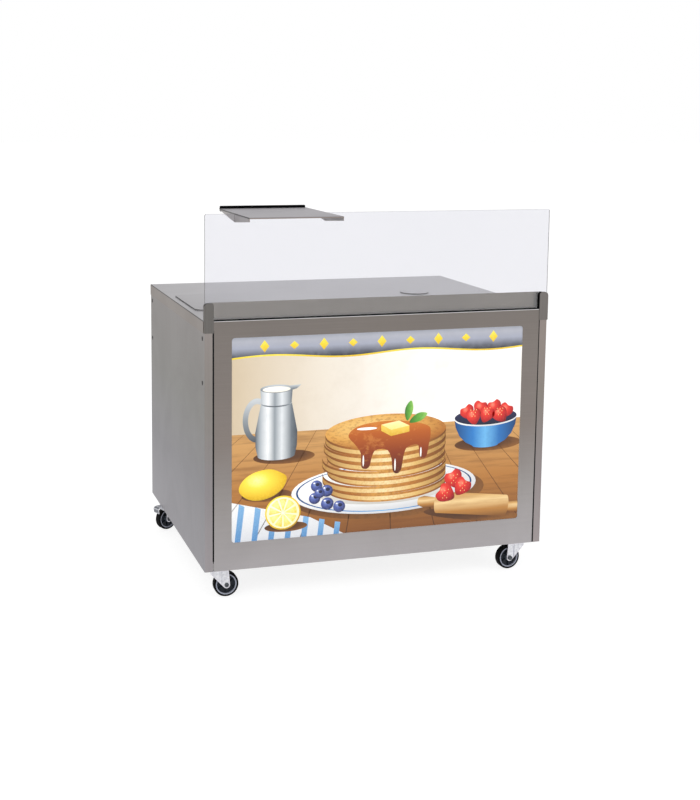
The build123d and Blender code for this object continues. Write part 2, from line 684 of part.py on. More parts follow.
# Cap on the collar, with a skirt round it and a notch for a cable
COLLAR_TOP = HEIGHT + COLLAR_RISE
with BuildPart() as collar_cap:
    with BuildSketch(Plane.XY.offset(COLLAR_TOP - CAP_SKIRT)):
        with Locations((COLLAR_X, COLLAR_Y)):
            Circle(CAP_R)
    extrude(amount=CAP_SKIRT + CAP_T)
    fillet(collar_cap.edges().sort_by(Axis.Z)[-1], CAP_EDGE_R)
    with BuildSketch(Plane.XY.offset(COLLAR_TOP - CAP_SKIRT)):
        with Locations((COLLAR_X, COLLAR_Y)):
            Circle(COLLAR_R + CAP_CLEAR)
    extrude(amount=CAP_SKIRT, mode=Mode.SUBTRACT)
    with BuildSketch(Plane.XY.offset(COLLAR_TOP - CAP_SKIRT)):
        with Locations((COLLAR_X, COLLAR_Y + CAP_R)):
            Circle(CAP_NOTCH_R)
    extrude(amount=CAP_SKIRT + CAP_T, mode=Mode.SUBTRACT)
save(collar_cap, "collar_cap")

# Opal sign panel behind the window
with BuildPart() as sign_panel:
    with BuildSketch(front_view(FRONT + SHEET)):
        with Locations((0, WINDOW_Z)):
            Rectangle(SIGN_W, SIGN_H)
    extrude(amount=-SIGN_T)
save(sign_panel, "sign_panel")

# Light box: an open tray against the sign's back
with BuildPart() as light_box:
    with BuildSketch(front_view(SIGN_BACK)):
        with Locations((0, WINDOW_Z)):
            Rectangle(SIGN_W, SIGN_H)
    extrude(amount=-BOX_DEPTH)
    with BuildSketch(front_view(SIGN_BACK)):
        with Locations((0, WINDOW_Z)):
            Rectangle(SIGN_W - 2 * BOX_WALL, SIGN_H - 2 * BOX_WALL)
    extrude(amount=BOX_WALL - BOX_DEPTH, mode=Mode.SUBTRACT)
    with BuildSketch(front_view(BOX_BACK - BOX_WALL)):
        with Locations((GLAND_X, FITTING_Z)):
            Circle(GLAND_STUB_R + GLAND_CLEAR)
        with Locations((SWITCH_X, FITTING_Z)):
            Rectangle(SWITCH_W + 2 * SWITCH_CLEAR, SWITCH_H + 2 * SWITCH_CLEAR)
    extrude(amount=-BOX_WALL, mode=Mode.SUBTRACT)
save(light_box, "light_box")

# Lamp tubes across the light box, between holders on its back wall
LAMP_HALF = SIGN_W / 2 - BOX_WALL - LAMP_END - HOLDER_X
LAMP_Y = SIGN_BACK + LAMP_SETBACK
LAMP_LEVELS = [WINDOW_Z + k * WINDOW_H / 4 for k in (-1, 1)]
with BuildPart() as lamp_tubes:
    with BuildSketch(Plane.YZ):
        with Locations(*[(LAMP_Y, z) for z in LAMP_LEVELS]):
            Circle(LAMP_R)
    extrude(amount=LAMP_HALF, both=True)
save(lamp_tubes, "lamp_tubes")

with BuildPart() as lamp_holders:
    with BuildSketch(front_view(BOX_BACK - BOX_WALL)):
        with Locations(*[(k * (LAMP_HALF + HOLDER_X / 2), z) for k in (-1, 1) for z in LAMP_LEVELS]):
            RectangleRounded(HOLDER_X, HOLDER_Z, BOX_WALL)
    extrude(amount=BOX_BACK - BOX_WALL - LAMP_Y + LAMP_R + HOLDER_RIM)
save(lamp_holders, "lamp_holders")

with BuildPart() as lamp_driver:
    with BuildSketch(front_view(BOX_BACK - BOX_WALL)):
        with Locations((0, WINDOW_Z)):
            Rectangle(DRIVER_SIZE[0], DRIVER_SIZE[2])
    extrude(amount=DRIVER_SIZE[1])
    fillet(lamp_driver.edges().filter_by(Axis.Y), DRIVER_R)
save(lamp_driver, "lamp_driver")

# Cable gland through the light box's back, with its lock nut inside
with BuildPart() as cable_gland:
    with BuildSketch(front_view(BOX_BACK)):
        with Locations((GLAND_X, FITTING_Z)):
            RegularPolygon(GLAND_HEX / 2, 6, major_radius=False)
    extrude(amount=-GLAND_HEX_H)
    with BuildSketch(front_view(BOX_BACK + GLAND_HEX_H)):
        with Locations((GLAND_X, FITTING_Z)):
            Circle(GLAND_DOME_R)
    extrude(amount=-GLAND_DOME_H)
    fillet(cable_gland.edges().sort_by(Axis.Y)[-1], GLAND_DOME_ROUND)
    with BuildSketch(front_view(BOX_BACK)):
        with Locations((GLAND_X, FITTING_Z)):
            Circle(GLAND_STUB_R)
    extrude(amount=GLAND_STUB)
    with BuildSketch(front_view(BOX_BACK - BOX_WALL)):
        with Locations((GLAND_X, FITTING_Z)):
            RegularPolygon(GLAND_HEX / 2, 6, major_radius=False)
    extrude(amount=GLAND_NUT_H)
    with BuildSketch(front_view(BOX_BACK - GLAND_STUB)):
        with Locations((GLAND_X, FITTING_Z)):
            Circle(GLAND_BORE_R)
    extrude(amount=-GLAND_STUB - GLAND_HEX_H - GLAND_DOME_H, mode=Mode.SUBTRACT)
save(cable_gland, "cable_gland")

# Light switch: body with a bezel and a well, and a rocker on a pin across it
WELL_W = ROCKER_W + 2 * ROCKER_ROOM
WELL_H = ROCKER_H + 2 * ROCKER_ROOM
ROCKER_Y = BOX_BACK
with BuildPart() as light_switch:
    with BuildSketch(front_view(BOX_BACK - SWITCH_IN)):
        with Locations((SWITCH_X, FITTING_Z)):
            Rectangle(SWITCH_W, SWITCH_H)
    extrude(amount=-SWITCH_IN)
    with BuildSketch(front_view(BOX_BACK)):
        with Locations((SWITCH_X, FITTING_Z)):
            RectangleRounded(SWITCH_W + 2 * BEZEL_RIM, SWITCH_H + 2 * BEZEL_RIM, BEZEL_RIM)
    extrude(amount=-BEZEL_T)
    with BuildSketch(front_view(BOX_BACK - ROCKER_DEEP)):
        with Locations((SWITCH_X, FITTING_Z)):
            Rectangle(WELL_W, WELL_H)
    extrude(amount=-ROCKER_DEEP - BEZEL_T, mode=Mode.SUBTRACT)
    with BuildSketch(Plane.YZ.offset(SWITCH_X)):
        with Locations((ROCKER_Y, FITTING_Z)):
            Circle(ROCKER_PIN_R + ROCKER_RUN)
    extrude(amount=ROCKER_W / 2 + ROCKER_PIN_REACH + ROCKER_ROOM, both=True, mode=Mode.SUBTRACT)
save(light_switch, "light_switch")

tilt = radians(ROCKER_TILT)
ROCKER_PLANE = Plane(
    (SWITCH_X, ROCKER_Y, FITTING_Z),
    x_dir=(0, cos(tilt), -sin(tilt)),
    z_dir=(1, 0, 0),
)
with BuildPart() as switch_rocker:
    with BuildSketch(ROCKER_PLANE):
        with BuildLine():
            Polyline(
                (ROCKER_END, -ROCKER_H / 2),
                (ROCKER_END - ROCKER_DISH, 0),
                (ROCKER_END, ROCKER_H / 2),
                (-ROCKER_END, ROCKER_H / 3),
                (-ROCKER_END, -ROCKER_H / 3),
                close=True,
            )
        make_face()
    extrude(amount=ROCKER_W / 2, both=True)
    with BuildSketch(ROCKER_PLANE):
        Circle(ROCKER_PIN_R)
    extrude(amount=ROCKER_W / 2 + ROCKER_PIN_REACH, both=True)
save(switch_rocker, "switch_rocker")

# Caster forms, with the swivel axis on Z, the floor at zero and the wheel trailing along X
AXLE_LINE = Axis((TRAIL, 0, WHEEL_R), (0, 1, 0))
WHEEL_PLANE = Plane((TRAIL, 0, WHEEL_R), x_dir=(1, 0, 0), z_dir=(0, 0, 1))
TYRE_IN = WHEEL_R - TYRE_T
CROWN_TRAIL = TRAIL + EYE_R - EYE_STEP
PIN_REACH = WHEEL_R + BRAKE_GAP + LOBE_R + LOBE_AT
PEDAL_X = TRAIL + PIN_REACH * cos(radians(PEDAL_BEARING))
PEDAL_Z = WHEEL_R + PIN_REACH * sin(radians(PEDAL_BEARING))
LOBE_ANGLE = radians(PEDAL_BEARING - 180 + PEDAL_TURN)
EAR_R = CROWN_TOP - PEDAL_Z

with BuildPart() as tyre_form:
    with BuildSketch(WHEEL_PLANE) as band:
        with Locations((TYRE_IN, 0)):
            Rectangle(TYRE_T, TYRE_W, align=(Align.MIN, Align.CENTER))
        fillet(band.vertices().group_by(Axis.X)[-1], TYRE_EDGE_R)
    revolve(axis=AXLE_LINE)

with BuildPart() as hub_form:
    with BuildSketch(WHEEL_PLANE):
        with Locations((AXLE_R + RUN, 0)):
            Rectangle(HUB_BOSS_R - AXLE_R - RUN, HUB_W, align=(Align.MIN, Align.CENTER))
            Rectangle(TYRE_IN - AXLE_R - RUN, WEB_T, align=(Align.MIN, Align.CENTER))
        with Locations((TYRE_IN - RIM_T, 0)):
            Rectangle(RIM_T, RIM_W, align=(Align.MIN, Align.CENTER))
    revolve(axis=AXLE_LINE)

with BuildPart() as axle_form:
    with BuildSketch(front_view(-LEG_OUT)):
        with Locations((TRAIL, WHEEL_R)):
            Circle(AXLE_R)
    extrude(amount=-2 * LEG_OUT - AXLE_NUT_H)
    with BuildSketch(front_view(-LEG_OUT)):
        with Locations((TRAIL, WHEEL_R)):
            Circle(AXLE_HEAD_R)
    extrude(amount=AXLE_HEAD_H)
    fillet(axle_form.edges().sort_by(Axis.Y)[0], AXLE_HEAD_H / 2)
    with BuildSketch(front_view(-LEG_OUT - AXLE_HEAD_H)):
        with Locations((TRAIL, WHEEL_R)):
            RegularPolygon(AXLE_SOCKET_R, 6)
    extrude(amount=-AXLE_SOCKET_H, mode=Mode.SUBTRACT)
    with BuildSketch(front_view(LEG_OUT)):
        with Locations((TRAIL, WHEEL_R)):
            RegularPolygon(AXLE_NUT / 2, 6, major_radius=False)
    extrude(amount=-AXLE_NUT_H)


def fork_form(braked):
    """Pressed fork: a crown with two legs, and arms for a brake pedal's pin."""
    with BuildPart() as form:
        with BuildSketch(front_view(-LEG_OUT)) as leg:
            with Locations((TRAIL, WHEEL_R)):
                Circle(EYE_R)
            with Locations(((CROWN_TRAIL - CROWN_LEAD) / 2, CROWN_TOP)):
                Rectangle(
                    CROWN_TRAIL + CROWN_LEAD,
                    FORK_SKIRT,
                    align=(Align.CENTER, Align.MAX),
                )
            make_hull()
        extrude(amount=-FORK_T)
        if braked:
            with BuildSketch(front_view(-LEG_OUT)):
                with Locations((PEDAL_X, PEDAL_Z)):
                    Circle(EAR_R)
                with Locations((CROWN_TRAIL, CROWN_TOP)):
                    Rectangle(EAR_ROOT, FORK_SKIRT, align=(Align.MAX, Align.MAX))
                make_hull()
            extrude(amount=-FORK_T)
        with BuildSketch(front_view(-LEG_OUT)):
            add(leg.sketch_local)
            with Locations((TRAIL - CREASE, 0)):
                Rectangle(
                    2 * (TRAIL + PEDAL_X),
                    4 * CROWN_TOP,
                    align=(Align.MIN, Align.CENTER),
                    mode=Mode.SUBTRACT,
                )
            with Locations((0, CROWN_TOP)):
                Rectangle(
                    4 * CROWN_LEAD,
                    2 * FORK_BEND,
                    mode=Mode.SUBTRACT,
                )
        extrude(amount=CREASE_RISE)
        mirror(about=Plane.XZ)
        with Locations(((CROWN_TRAIL - CROWN_LEAD) / 2, 0, CROWN_TOP)):
            Box(
                CROWN_TRAIL + CROWN_LEAD,
                2 * LEG_OUT,
                FORK_T,
                align=(Align.CENTER, Align.CENTER, Align.MAX),
            )
        top_edges = form.edges().filter_by(Axis.X).group_by(Axis.Z)[-1]
        fillet([edge for edge in top_edges if abs(edge.center().Y) > LEG_IN], FORK_BEND)
        with BuildSketch(Plane.XY):
            Circle(KINGPIN_R + RUN)
        extrude(amount=CROWN_TOP, mode=Mode.SUBTRACT)
        with BuildSketch(Plane.XZ):
            with Locations((TRAIL, WHEEL_R)):
                Circle(AXLE_R + RUN)
            if braked:
                with Locations((PEDAL_X, PEDAL_Z)):
                    Circle(PEDAL_PIN_R + RUN)
        extrude(amount=2 * LEG_OUT, both=True, mode=Mode.SUBTRACT)
    return form.part


FORKS = {False: fork_form(False), True: fork_form(True)}

with BuildPart() as pedal_form:
    pad = [
        (PEDAL_X, PEDAL_Z + PEDAL_HUB_R),
        (PEDAL_X + PEDAL_FLAT, PEDAL_Z + PEDAL_HUB_R),
        (PEDAL_X + PEDAL_OUT, PEDAL_Z + PEDAL_HUB_R - PEDAL_FALL),
        (PEDAL_X + PEDAL_OUT - PEDAL_TOE_IN, PEDAL_Z + PEDAL_HUB_R - PEDAL_FALL - PEDAL_TOE),
    ]
    with BuildSketch(Plane.XZ):
        with BuildLine():
            FilletPolyline(*pad, radius=PEDAL_BEND)
            offset(amount=PEDAL_T, side=Side.RIGHT)
        make_face()
        with Locations((PEDAL_X, PEDAL_Z)):
            Circle(PEDAL_HUB_R)
        with Locations((PEDAL_X + LOBE_AT * cos(LOBE_ANGLE), PEDAL_Z + LOBE_AT * sin(LOBE_ANGLE))):
            Circle(LOBE_R)
    extrude(amount=LEG_IN - PEDAL_SIDE, both=True)
    with BuildSketch(Plane.XZ):
        with Locations((PEDAL_X, PEDAL_Z)):
            Circle(PEDAL_PIN_R)
    extrude(amount=LEG_OUT + PEDAL_PIN_END, both=True)

with BuildPart() as race_form:
    with BuildSketch(Plane.XZ):
        with BuildLine():
            Polyline(
                (RACE_BORE_R, CROWN_TOP + RACE_GAP),
                (RACE_STEP_R, CROWN_TOP + RACE_GAP),
                (RACE_R, CROWN_TOP + RACE_GAP + RACE_STEP_H),
                (RACE_R, PLATE_Z),
                (RACE_BORE_R, PLATE_Z),
                close=True,
            )
        make_face()
    revolve(axis=Axis.Z)

with BuildPart() as plate_form:
    with BuildSketch(Plane.XY.offset(PLATE_Z)):
        RectangleRounded(PLATE_L, PLATE_W, PLATE_R)
        with GridLocations(BOLT_X, BOLT_Y, 2, 2):
            Circle(BOLT_HOLE_R, mode=Mode.SUBTRACT)
        Circle(KINGPIN_R + RUN, mode=Mode.SUBTRACT)
    extrude(amount=PLATE_T)

for corner, x, y, heading, braked in CASTERS:
    turned = Plane((x, y, 0), x_dir=(cos(radians(heading)), sin(radians(heading)), 0), z_dir=(0, 0, 1))
    square = Plane((x, y, 0))
    pieces = {
        "plate": (square, plate_form.part),
        "race": (square, race_form.part),
        "fork": (turned, FORKS[braked]),
        "axle": (turned, axle_form.part),
        "hub": (turned, hub_form.part),
        "tyre": (turned, tyre_form.part),
    }
    if braked:
        pieces["brake_pedal"] = (turned, pedal_form.part)
    for piece, (place, form) in pieces.items():
        with BuildPart(place) as caster_piece:
            add(form)
        save(caster_piece, f"{corner}_{piece}")

# Kingpins, one through each race, with a head under the crown
with BuildPart() as kingpins:
    spots = [(x, y) for _, x, y, _, _ in CASTERS]
    head_top = CROWN_Z - RACE_GAP
    with BuildSketch(Plane.XY.offset(head_top - KINGPIN_HEAD_H)):
        with Locations(*spots):
            Circle(KINGPIN_HEAD_R)
    extrude(amount=KINGPIN_HEAD_H)
    with BuildSketch(Plane.XY.offset(head_top)):
        with Locations(*spots):
            Circle(KINGPIN_R)
    extrude(amount=BOTTOM - head_top)
save(kingpins, "kingpins")

# Backing plates on the base panel, then the bolts and nuts through all of it
BACKING_Z = BOTTOM + SHEET
NUT_Z = BACKING_Z + BACKING_T
with BuildPart() as backing_plates:
    with BuildSketch(Plane.XY.offset(BACKING_Z)):
        with Locations(*spots):
            RectangleRounded(PLATE_L, PLATE_W, PLATE_R)
        with Locations(*BOLT_SPOTS):
            Circle(BOLT_HOLE_R, mode=Mode.SUBTRACT)
    extrude(amount=BACKING_T)
save(backing_plates, "backing_plates")

with BuildPart() as caster_bolts:
    with BuildSketch(Plane.XY.offset(PLATE_Z)):
        with Locations(*BOLT_SPOTS):
            RegularPolygon(BOLT_HEX / 2, 6, major_radius=False)
    extrude(amount=-BOLT_HEAD_H)
    with BuildSketch(Plane.XY.offset(PLATE_Z)):
        with Locations(*BOLT_SPOTS):
            Circle(BOLT_R)
    extrude(amount=NUT_Z + NUT_H + BOLT_END - PLATE_Z)
save(caster_bolts, "caster_bolts")

with BuildPart() as caster_nuts:
    with BuildSketch(Plane.XY.offset(NUT_Z)):
        with Locations(*BOLT_SPOTS):
            RegularPolygon(BOLT_HEX / 2, 6, major_radius=False)
            Circle(BOLT_R + RUN, mode=Mode.SUBTRACT)
    extrude(amount=NUT_H)
save(caster_nuts, "caster_nuts")
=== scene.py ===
"""Looks of a folded stainless crepe cart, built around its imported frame."""
import json
import logging
import math
from dataclasses import dataclass, field, replace
from enum import Enum
from functools import partial
from typing import ClassVar, Sequence

import bmesh
import bpy
from mathutils import Matrix, Vector


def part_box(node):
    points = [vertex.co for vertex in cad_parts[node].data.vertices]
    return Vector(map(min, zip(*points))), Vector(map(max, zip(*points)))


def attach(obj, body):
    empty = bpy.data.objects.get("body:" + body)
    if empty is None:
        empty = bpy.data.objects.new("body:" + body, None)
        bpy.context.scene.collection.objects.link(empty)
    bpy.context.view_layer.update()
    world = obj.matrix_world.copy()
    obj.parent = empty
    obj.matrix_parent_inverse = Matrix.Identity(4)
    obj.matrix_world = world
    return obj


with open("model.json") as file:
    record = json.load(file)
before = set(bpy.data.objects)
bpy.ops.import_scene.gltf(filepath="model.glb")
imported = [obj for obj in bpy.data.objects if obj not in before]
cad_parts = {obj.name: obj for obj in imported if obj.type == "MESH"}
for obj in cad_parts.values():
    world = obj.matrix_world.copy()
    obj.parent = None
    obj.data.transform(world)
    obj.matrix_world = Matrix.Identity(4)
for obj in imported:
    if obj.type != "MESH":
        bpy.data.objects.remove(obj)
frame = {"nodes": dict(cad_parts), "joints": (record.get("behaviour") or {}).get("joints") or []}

LOG = logging.getLogger("crepe_cart")
MM = 0.001
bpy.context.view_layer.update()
IMAGE_W = 700
IMAGE_H = 800
ORIGIN = Vector()
X_AXIS = Vector((1.0, 0.0, 0.0))
Z_AXIS = Vector((0.0, 0.0, 1.0))

Triple = tuple[float, float, float]
Stops = tuple[tuple[float, str], ...]
Outline = list[tuple[float, float]]
Socket = bpy.types.NodeSocket
Sockets = bpy.types.bpy_prop_collection


def ink(code: str) -> Triple:
    """Turn a written colour into scene-linear values.

    Args:
        code: Six hexadecimal digits.

    Returns:
        Red, green and blue, from 0 to 1.
    """
    values = [int(code[i : i + 2], 16) / 255 for i in (0, 2, 4)]
    return tuple(v / 12.92 if v <= 0.04045 else ((v + 0.055) / 1.055) ** 2.4 for v in values)


class Graph:
    """Short calls for making and linking nodes in one node tree."""

    GIVE_A_VALUE: ClassVar[tuple[str, ...]] = ("DOT_PRODUCT", "DISTANCE", "LENGTH")

    def __init__(self, tree: bpy.types.NodeTree) -> None:
        """Work on the given tree."""
        self.tree = tree

    def node(self, kind: str, inputs: dict | None = None, **settings: object) -> bpy.types.Node:
        """Add a node.

        Args:
            kind: Blender's name of the node.
            inputs: Socket name or number to a value or to another node's output.
            settings: Attributes of the node.

        Returns:
            The new node.
        """
        made = self.tree.nodes.new(kind)
        for key, value in settings.items():
            setattr(made, key, value)
        for key, value in (inputs or {}).items():
            self.feed(made.inputs[key], value)
        return made

    def feed(self, socket: Socket, value: object) -> None:
        """Link an output to a socket, or set the socket's own value.

        Args:
            socket: The socket to feed.
            value: An output, a number, a vector or a colour.
        """
        if isinstance(value, Socket):
            self.tree.links.new(value, socket)
        elif socket.type == "RGBA" and len(value) == 3:
            socket.default_value = (*value, 1.0)
        else:
            socket.default_value = value

    def math(self, operation: str, a: object, b: object = 0.0) -> Socket:
        """Return the output of a Math node on two values."""
        return self.node("ShaderNodeMath", {0: a, 1: b}, operation=operation).outputs[0]

    def scaled(self, value: object, by: float) -> Socket:
        """Return a value times a number."""
        return self.math("MULTIPLY", value, by)

    def vector(self, operation: str, a: object, b: object = (0.0, 0.0, 0.0)) -> Socket:
        """Return the output of a Vector Math node, its value where the operation gives one."""
        made = self.node("ShaderNodeVectorMath", {0: a, 1: b}, operation=operation)
        return made.outputs["Value" if operation in self.GIVE_A_VALUE else "Vector"]

    def noise(
        self, place: object, scale: object, detail: float, rough: float = 0.5, warp: float = 0.0
    ) -> Socket:
        """Return the value of a noise texture."""
        inputs = {"Vector": place, "Scale": scale, "Detail": detail, "Roughness": rough, "Distortion": warp}
        return self.node("ShaderNodeTexNoise", inputs).outputs[0]

    def span(
        self, value: object, low: object, high: object, to_low: float = 0.0, to_high: float = 1.0
    ) -> Socket:
        """Return a value mapped from one range to another, held at its ends."""
        inputs = {0: value, 1: low, 2: high, 3: to_low, 4: to_high}
        return self.node("ShaderNodeMapRange", inputs).outputs[0]

    def mix(self, share: object, a: object, b: object, blend: str = "MIX") -> Socket:
        """Return a colour between two colours."""
        inputs = {0: share, 6: a, 7: b}
        return self.node("ShaderNodeMix", inputs, data_type="RGBA", blend_type=blend).outputs[2]

    def veil(self, tone: object, mask: object, share: float, code: str) -> Socket:
        """Return a colour with a share of another laid over it where a mask says."""
        return self.mix(self.scaled(mask, share), tone, ink(code))

    def ramp(self, value: object, stops: Sequence[tuple[float, str]]) -> Socket:
        """Pick a colour from a row of stops.

        Args:
            value: Where to look, from 0 to 1.
            stops: Places and written colours, two or more.

        Returns:
            The colour's output.
        """
        made = self.node("ShaderNodeValToRGB", {0: value})
        points = made.color_ramp.elements
        while len(points) < len(stops):
            points.new(0.5)
        for point, (place, code) in zip(points, stops):
            point.position = place
            point.color = (*ink(code), 1.0)
        return made.outputs[0]

    def group(self, name: str, **inputs: object) -> Sockets:
        """Place a shared node group, feed its sockets and return its outputs."""
        return self.node("ShaderNodeGroup", inputs, node_tree=bpy.data.node_groups[name]).outputs


class Effects:
    """Node groups that several materials share."""

    PLACE: ClassVar[dict[str, object]] = {"Vector": (0.0, 0.0, 0.0)}
    NORMAL: ClassVar[dict[str, object]] = {"Normal": (0.0, 0.0, 1.0)}

    @staticmethod
    def start(
        name: str, inputs: dict[str, object], *outputs: str
    ) -> tuple[Graph, dict[str, Socket], Sockets]:
        """Open a new group.

        Args:
            name: Name of the group.
            inputs: Input names to default values.
            outputs: Names of its outputs, each a number.

        Returns:
            The group's graph, its inputs by name and the sockets of its output node.
        """
        tree = bpy.data.node_groups.new(name, "ShaderNodeTree")
        for key, value in inputs.items():
            kind = "NodeSocketFloat" if isinstance(value, float) else "NodeSocketVector"
            socket = tree.interface.new_socket(name=key, in_out="INPUT", socket_type=kind)
            socket.default_value = value
        for key in outputs:
            tree.interface.new_socket(name=key, in_out="OUTPUT", socket_type="NodeSocketFloat")
        graph = Graph(tree)
        entry = graph.node("NodeGroupInput").outputs
        leave = graph.node("NodeGroupOutput").inputs
        return graph, {key: entry[key] for key in inputs}, leave

    def build(self) -> None:
        """Make every group once."""
        self.brushed_grain()
        self.handling_marks()
        self.facing()
        self.speckle()
        self.wheel_rings()
        self.fold_line()

    def brushed_grain(self) -> None:
        """Fine streaks along one axis, with broader bands between them."""
        inputs = {**self.PLACE, "Stretch": (1.0, 1.0, 1.0)}
        graph, entry, leave = self.start("brushed_grain", inputs, "Streak", "Band")
        place = graph.vector("MULTIPLY", entry["Vector"], entry["Stretch"])
        fine = graph.noise(place, scale=1.0, detail=3.0, rough=0.65)
        wide = graph.noise(place, scale=0.07, detail=2.0)
        graph.feed(leave["Streak"], graph.span(fine, 0.3, 0.7))
        graph.feed(leave["Band"], graph.span(wide, 0.35, 0.65))

    def handling_marks(self) -> None:
        """Soft clouds where hands and cloths have passed."""
        graph, entry, leave = self.start("handling_marks", {**self.PLACE, "Scale": 6.0}, "Mark")
        cloud = graph.noise(entry["Vector"], entry["Scale"], detail=5.0, rough=0.6, warp=0.8)
        graph.feed(leave["Mark"], graph.span(cloud, 0.42, 0.72))

    def facing(self) -> None:
        """One on faces that look up, and one on faces that look to the front."""
        graph, entry, leave = self.start("facing", self.NORMAL, "Up", "Ahead")
        parts = graph.node("ShaderNodeSeparateXYZ", {0: entry["Normal"]}).outputs
        graph.feed(leave["Up"], graph.span(parts["Z"], 0.6, 0.85))
        graph.feed(leave["Ahead"], graph.span(parts["Y"], -0.6, -0.85))

    def speckle(self) -> None:
        """Small uneven spots for moulded, plated and printed surfaces."""
        inputs = {**self.PLACE, "Scale": 200.0, "Low": 0.45, "High": 0.6}
        graph, entry, leave = self.start("speckle", inputs, "Spot", "Grit")
        coarse = graph.noise(entry["Vector"], entry["Scale"], detail=4.0, rough=0.62)
        fine = graph.noise(entry["Vector"], graph.scaled(entry["Scale"], 5.0), detail=2.0)
        graph.feed(leave["Spot"], graph.span(coarse, entry["Low"], entry["High"]))
        graph.feed(leave["Grit"], fine)

    def wheel_rings(self) -> None:
        """Distance from a wheel's axle line, in metres."""
        inputs = {**self.PLACE, "Centre": (0.0, 0.0, 0.0), "Axis": (0.0, 1.0, 0.0)}
        graph, entry, leave = self.start("wheel_rings", inputs, "Radius")
        arm = graph.vector("SUBTRACT", entry["Vector"], entry["Centre"])
        across = graph.vector("CROSS_PRODUCT", arm, entry["Axis"])
        graph.feed(leave["Radius"], graph.vector("LENGTH", across))

    def fold_line(self) -> None:
        """One where a surface turns between two directions, as a bend in a sheet does."""
        ways = {"From": (0.0, -1.0, 0.0), "To": (0.0, 0.0, 1.0)}
        inputs = {**self.NORMAL, **ways, "Start": 0.15, "Full": 0.5}
        graph, entry, leave = self.start("fold_line", inputs, "Fold")
        shares = [graph.vector("DOT_PRODUCT", entry["Normal"], entry[way]) for way in ways]
        turn = graph.math("MINIMUM", *shares)
        graph.feed(leave["Fold"], graph.span(turn, entry["Start"], entry["Full"]))


class Grain(Enum):
    """Direction of a sheet's brushing, as stretch factors for its streaks."""

    ALONG_X = (3.0, 900.0, 900.0)
    ALONG_Y = (900.0, 3.0, 900.0)
    ALONG_Z = (900.0, 900.0, 3.0)


class Shade(Enum):
    """How a printed shape runs through its colours."""

    ACROSS = "across"
    UPWARDS = "upwards"
    ROUND = "round"


MADE: dict["Finish", bpy.types.Material] = {}


@dataclass(frozen=True)
class Finish:
    """A procedural surface. Each kind of finish fills in its own nodes."""

    name: str

    def make(self) -> bpy.types.Material:
        """Build the material once.

        Returns:
            The material of this finish.
        """
        if self not in MADE:
            material = bpy.data.materials.new(self.name)
            material.use_nodes = True
            graph = Graph(material.node_tree)
            shader = material.node_tree.nodes["Principled BSDF"]
            self.fill(graph, shader.inputs, graph.node("ShaderNodeTexCoord").outputs)
            MADE[self] = material
        return MADE[self]

    def fill(self, graph: Graph, shader: Sockets, coords: Sockets) -> None:
        """Make and link the nodes of this finish.

        Args:
            graph: The material's graph.
            shader: The Principled shader's sockets.
            coords: The texture coordinates' outputs.
        """
        raise NotImplementedError

    @staticmethod
    def bump(graph: Graph, shader: Sockets, height: Socket, strength: float, mm: float) -> None:
        """Feed a height, of so many millimetres, to the shader's normal."""
        made = graph.node("ShaderNodeBump", {"Height": height, "Strength": strength, "Distance": mm * MM})
        graph.feed(shader["Normal"], made.outputs[0])


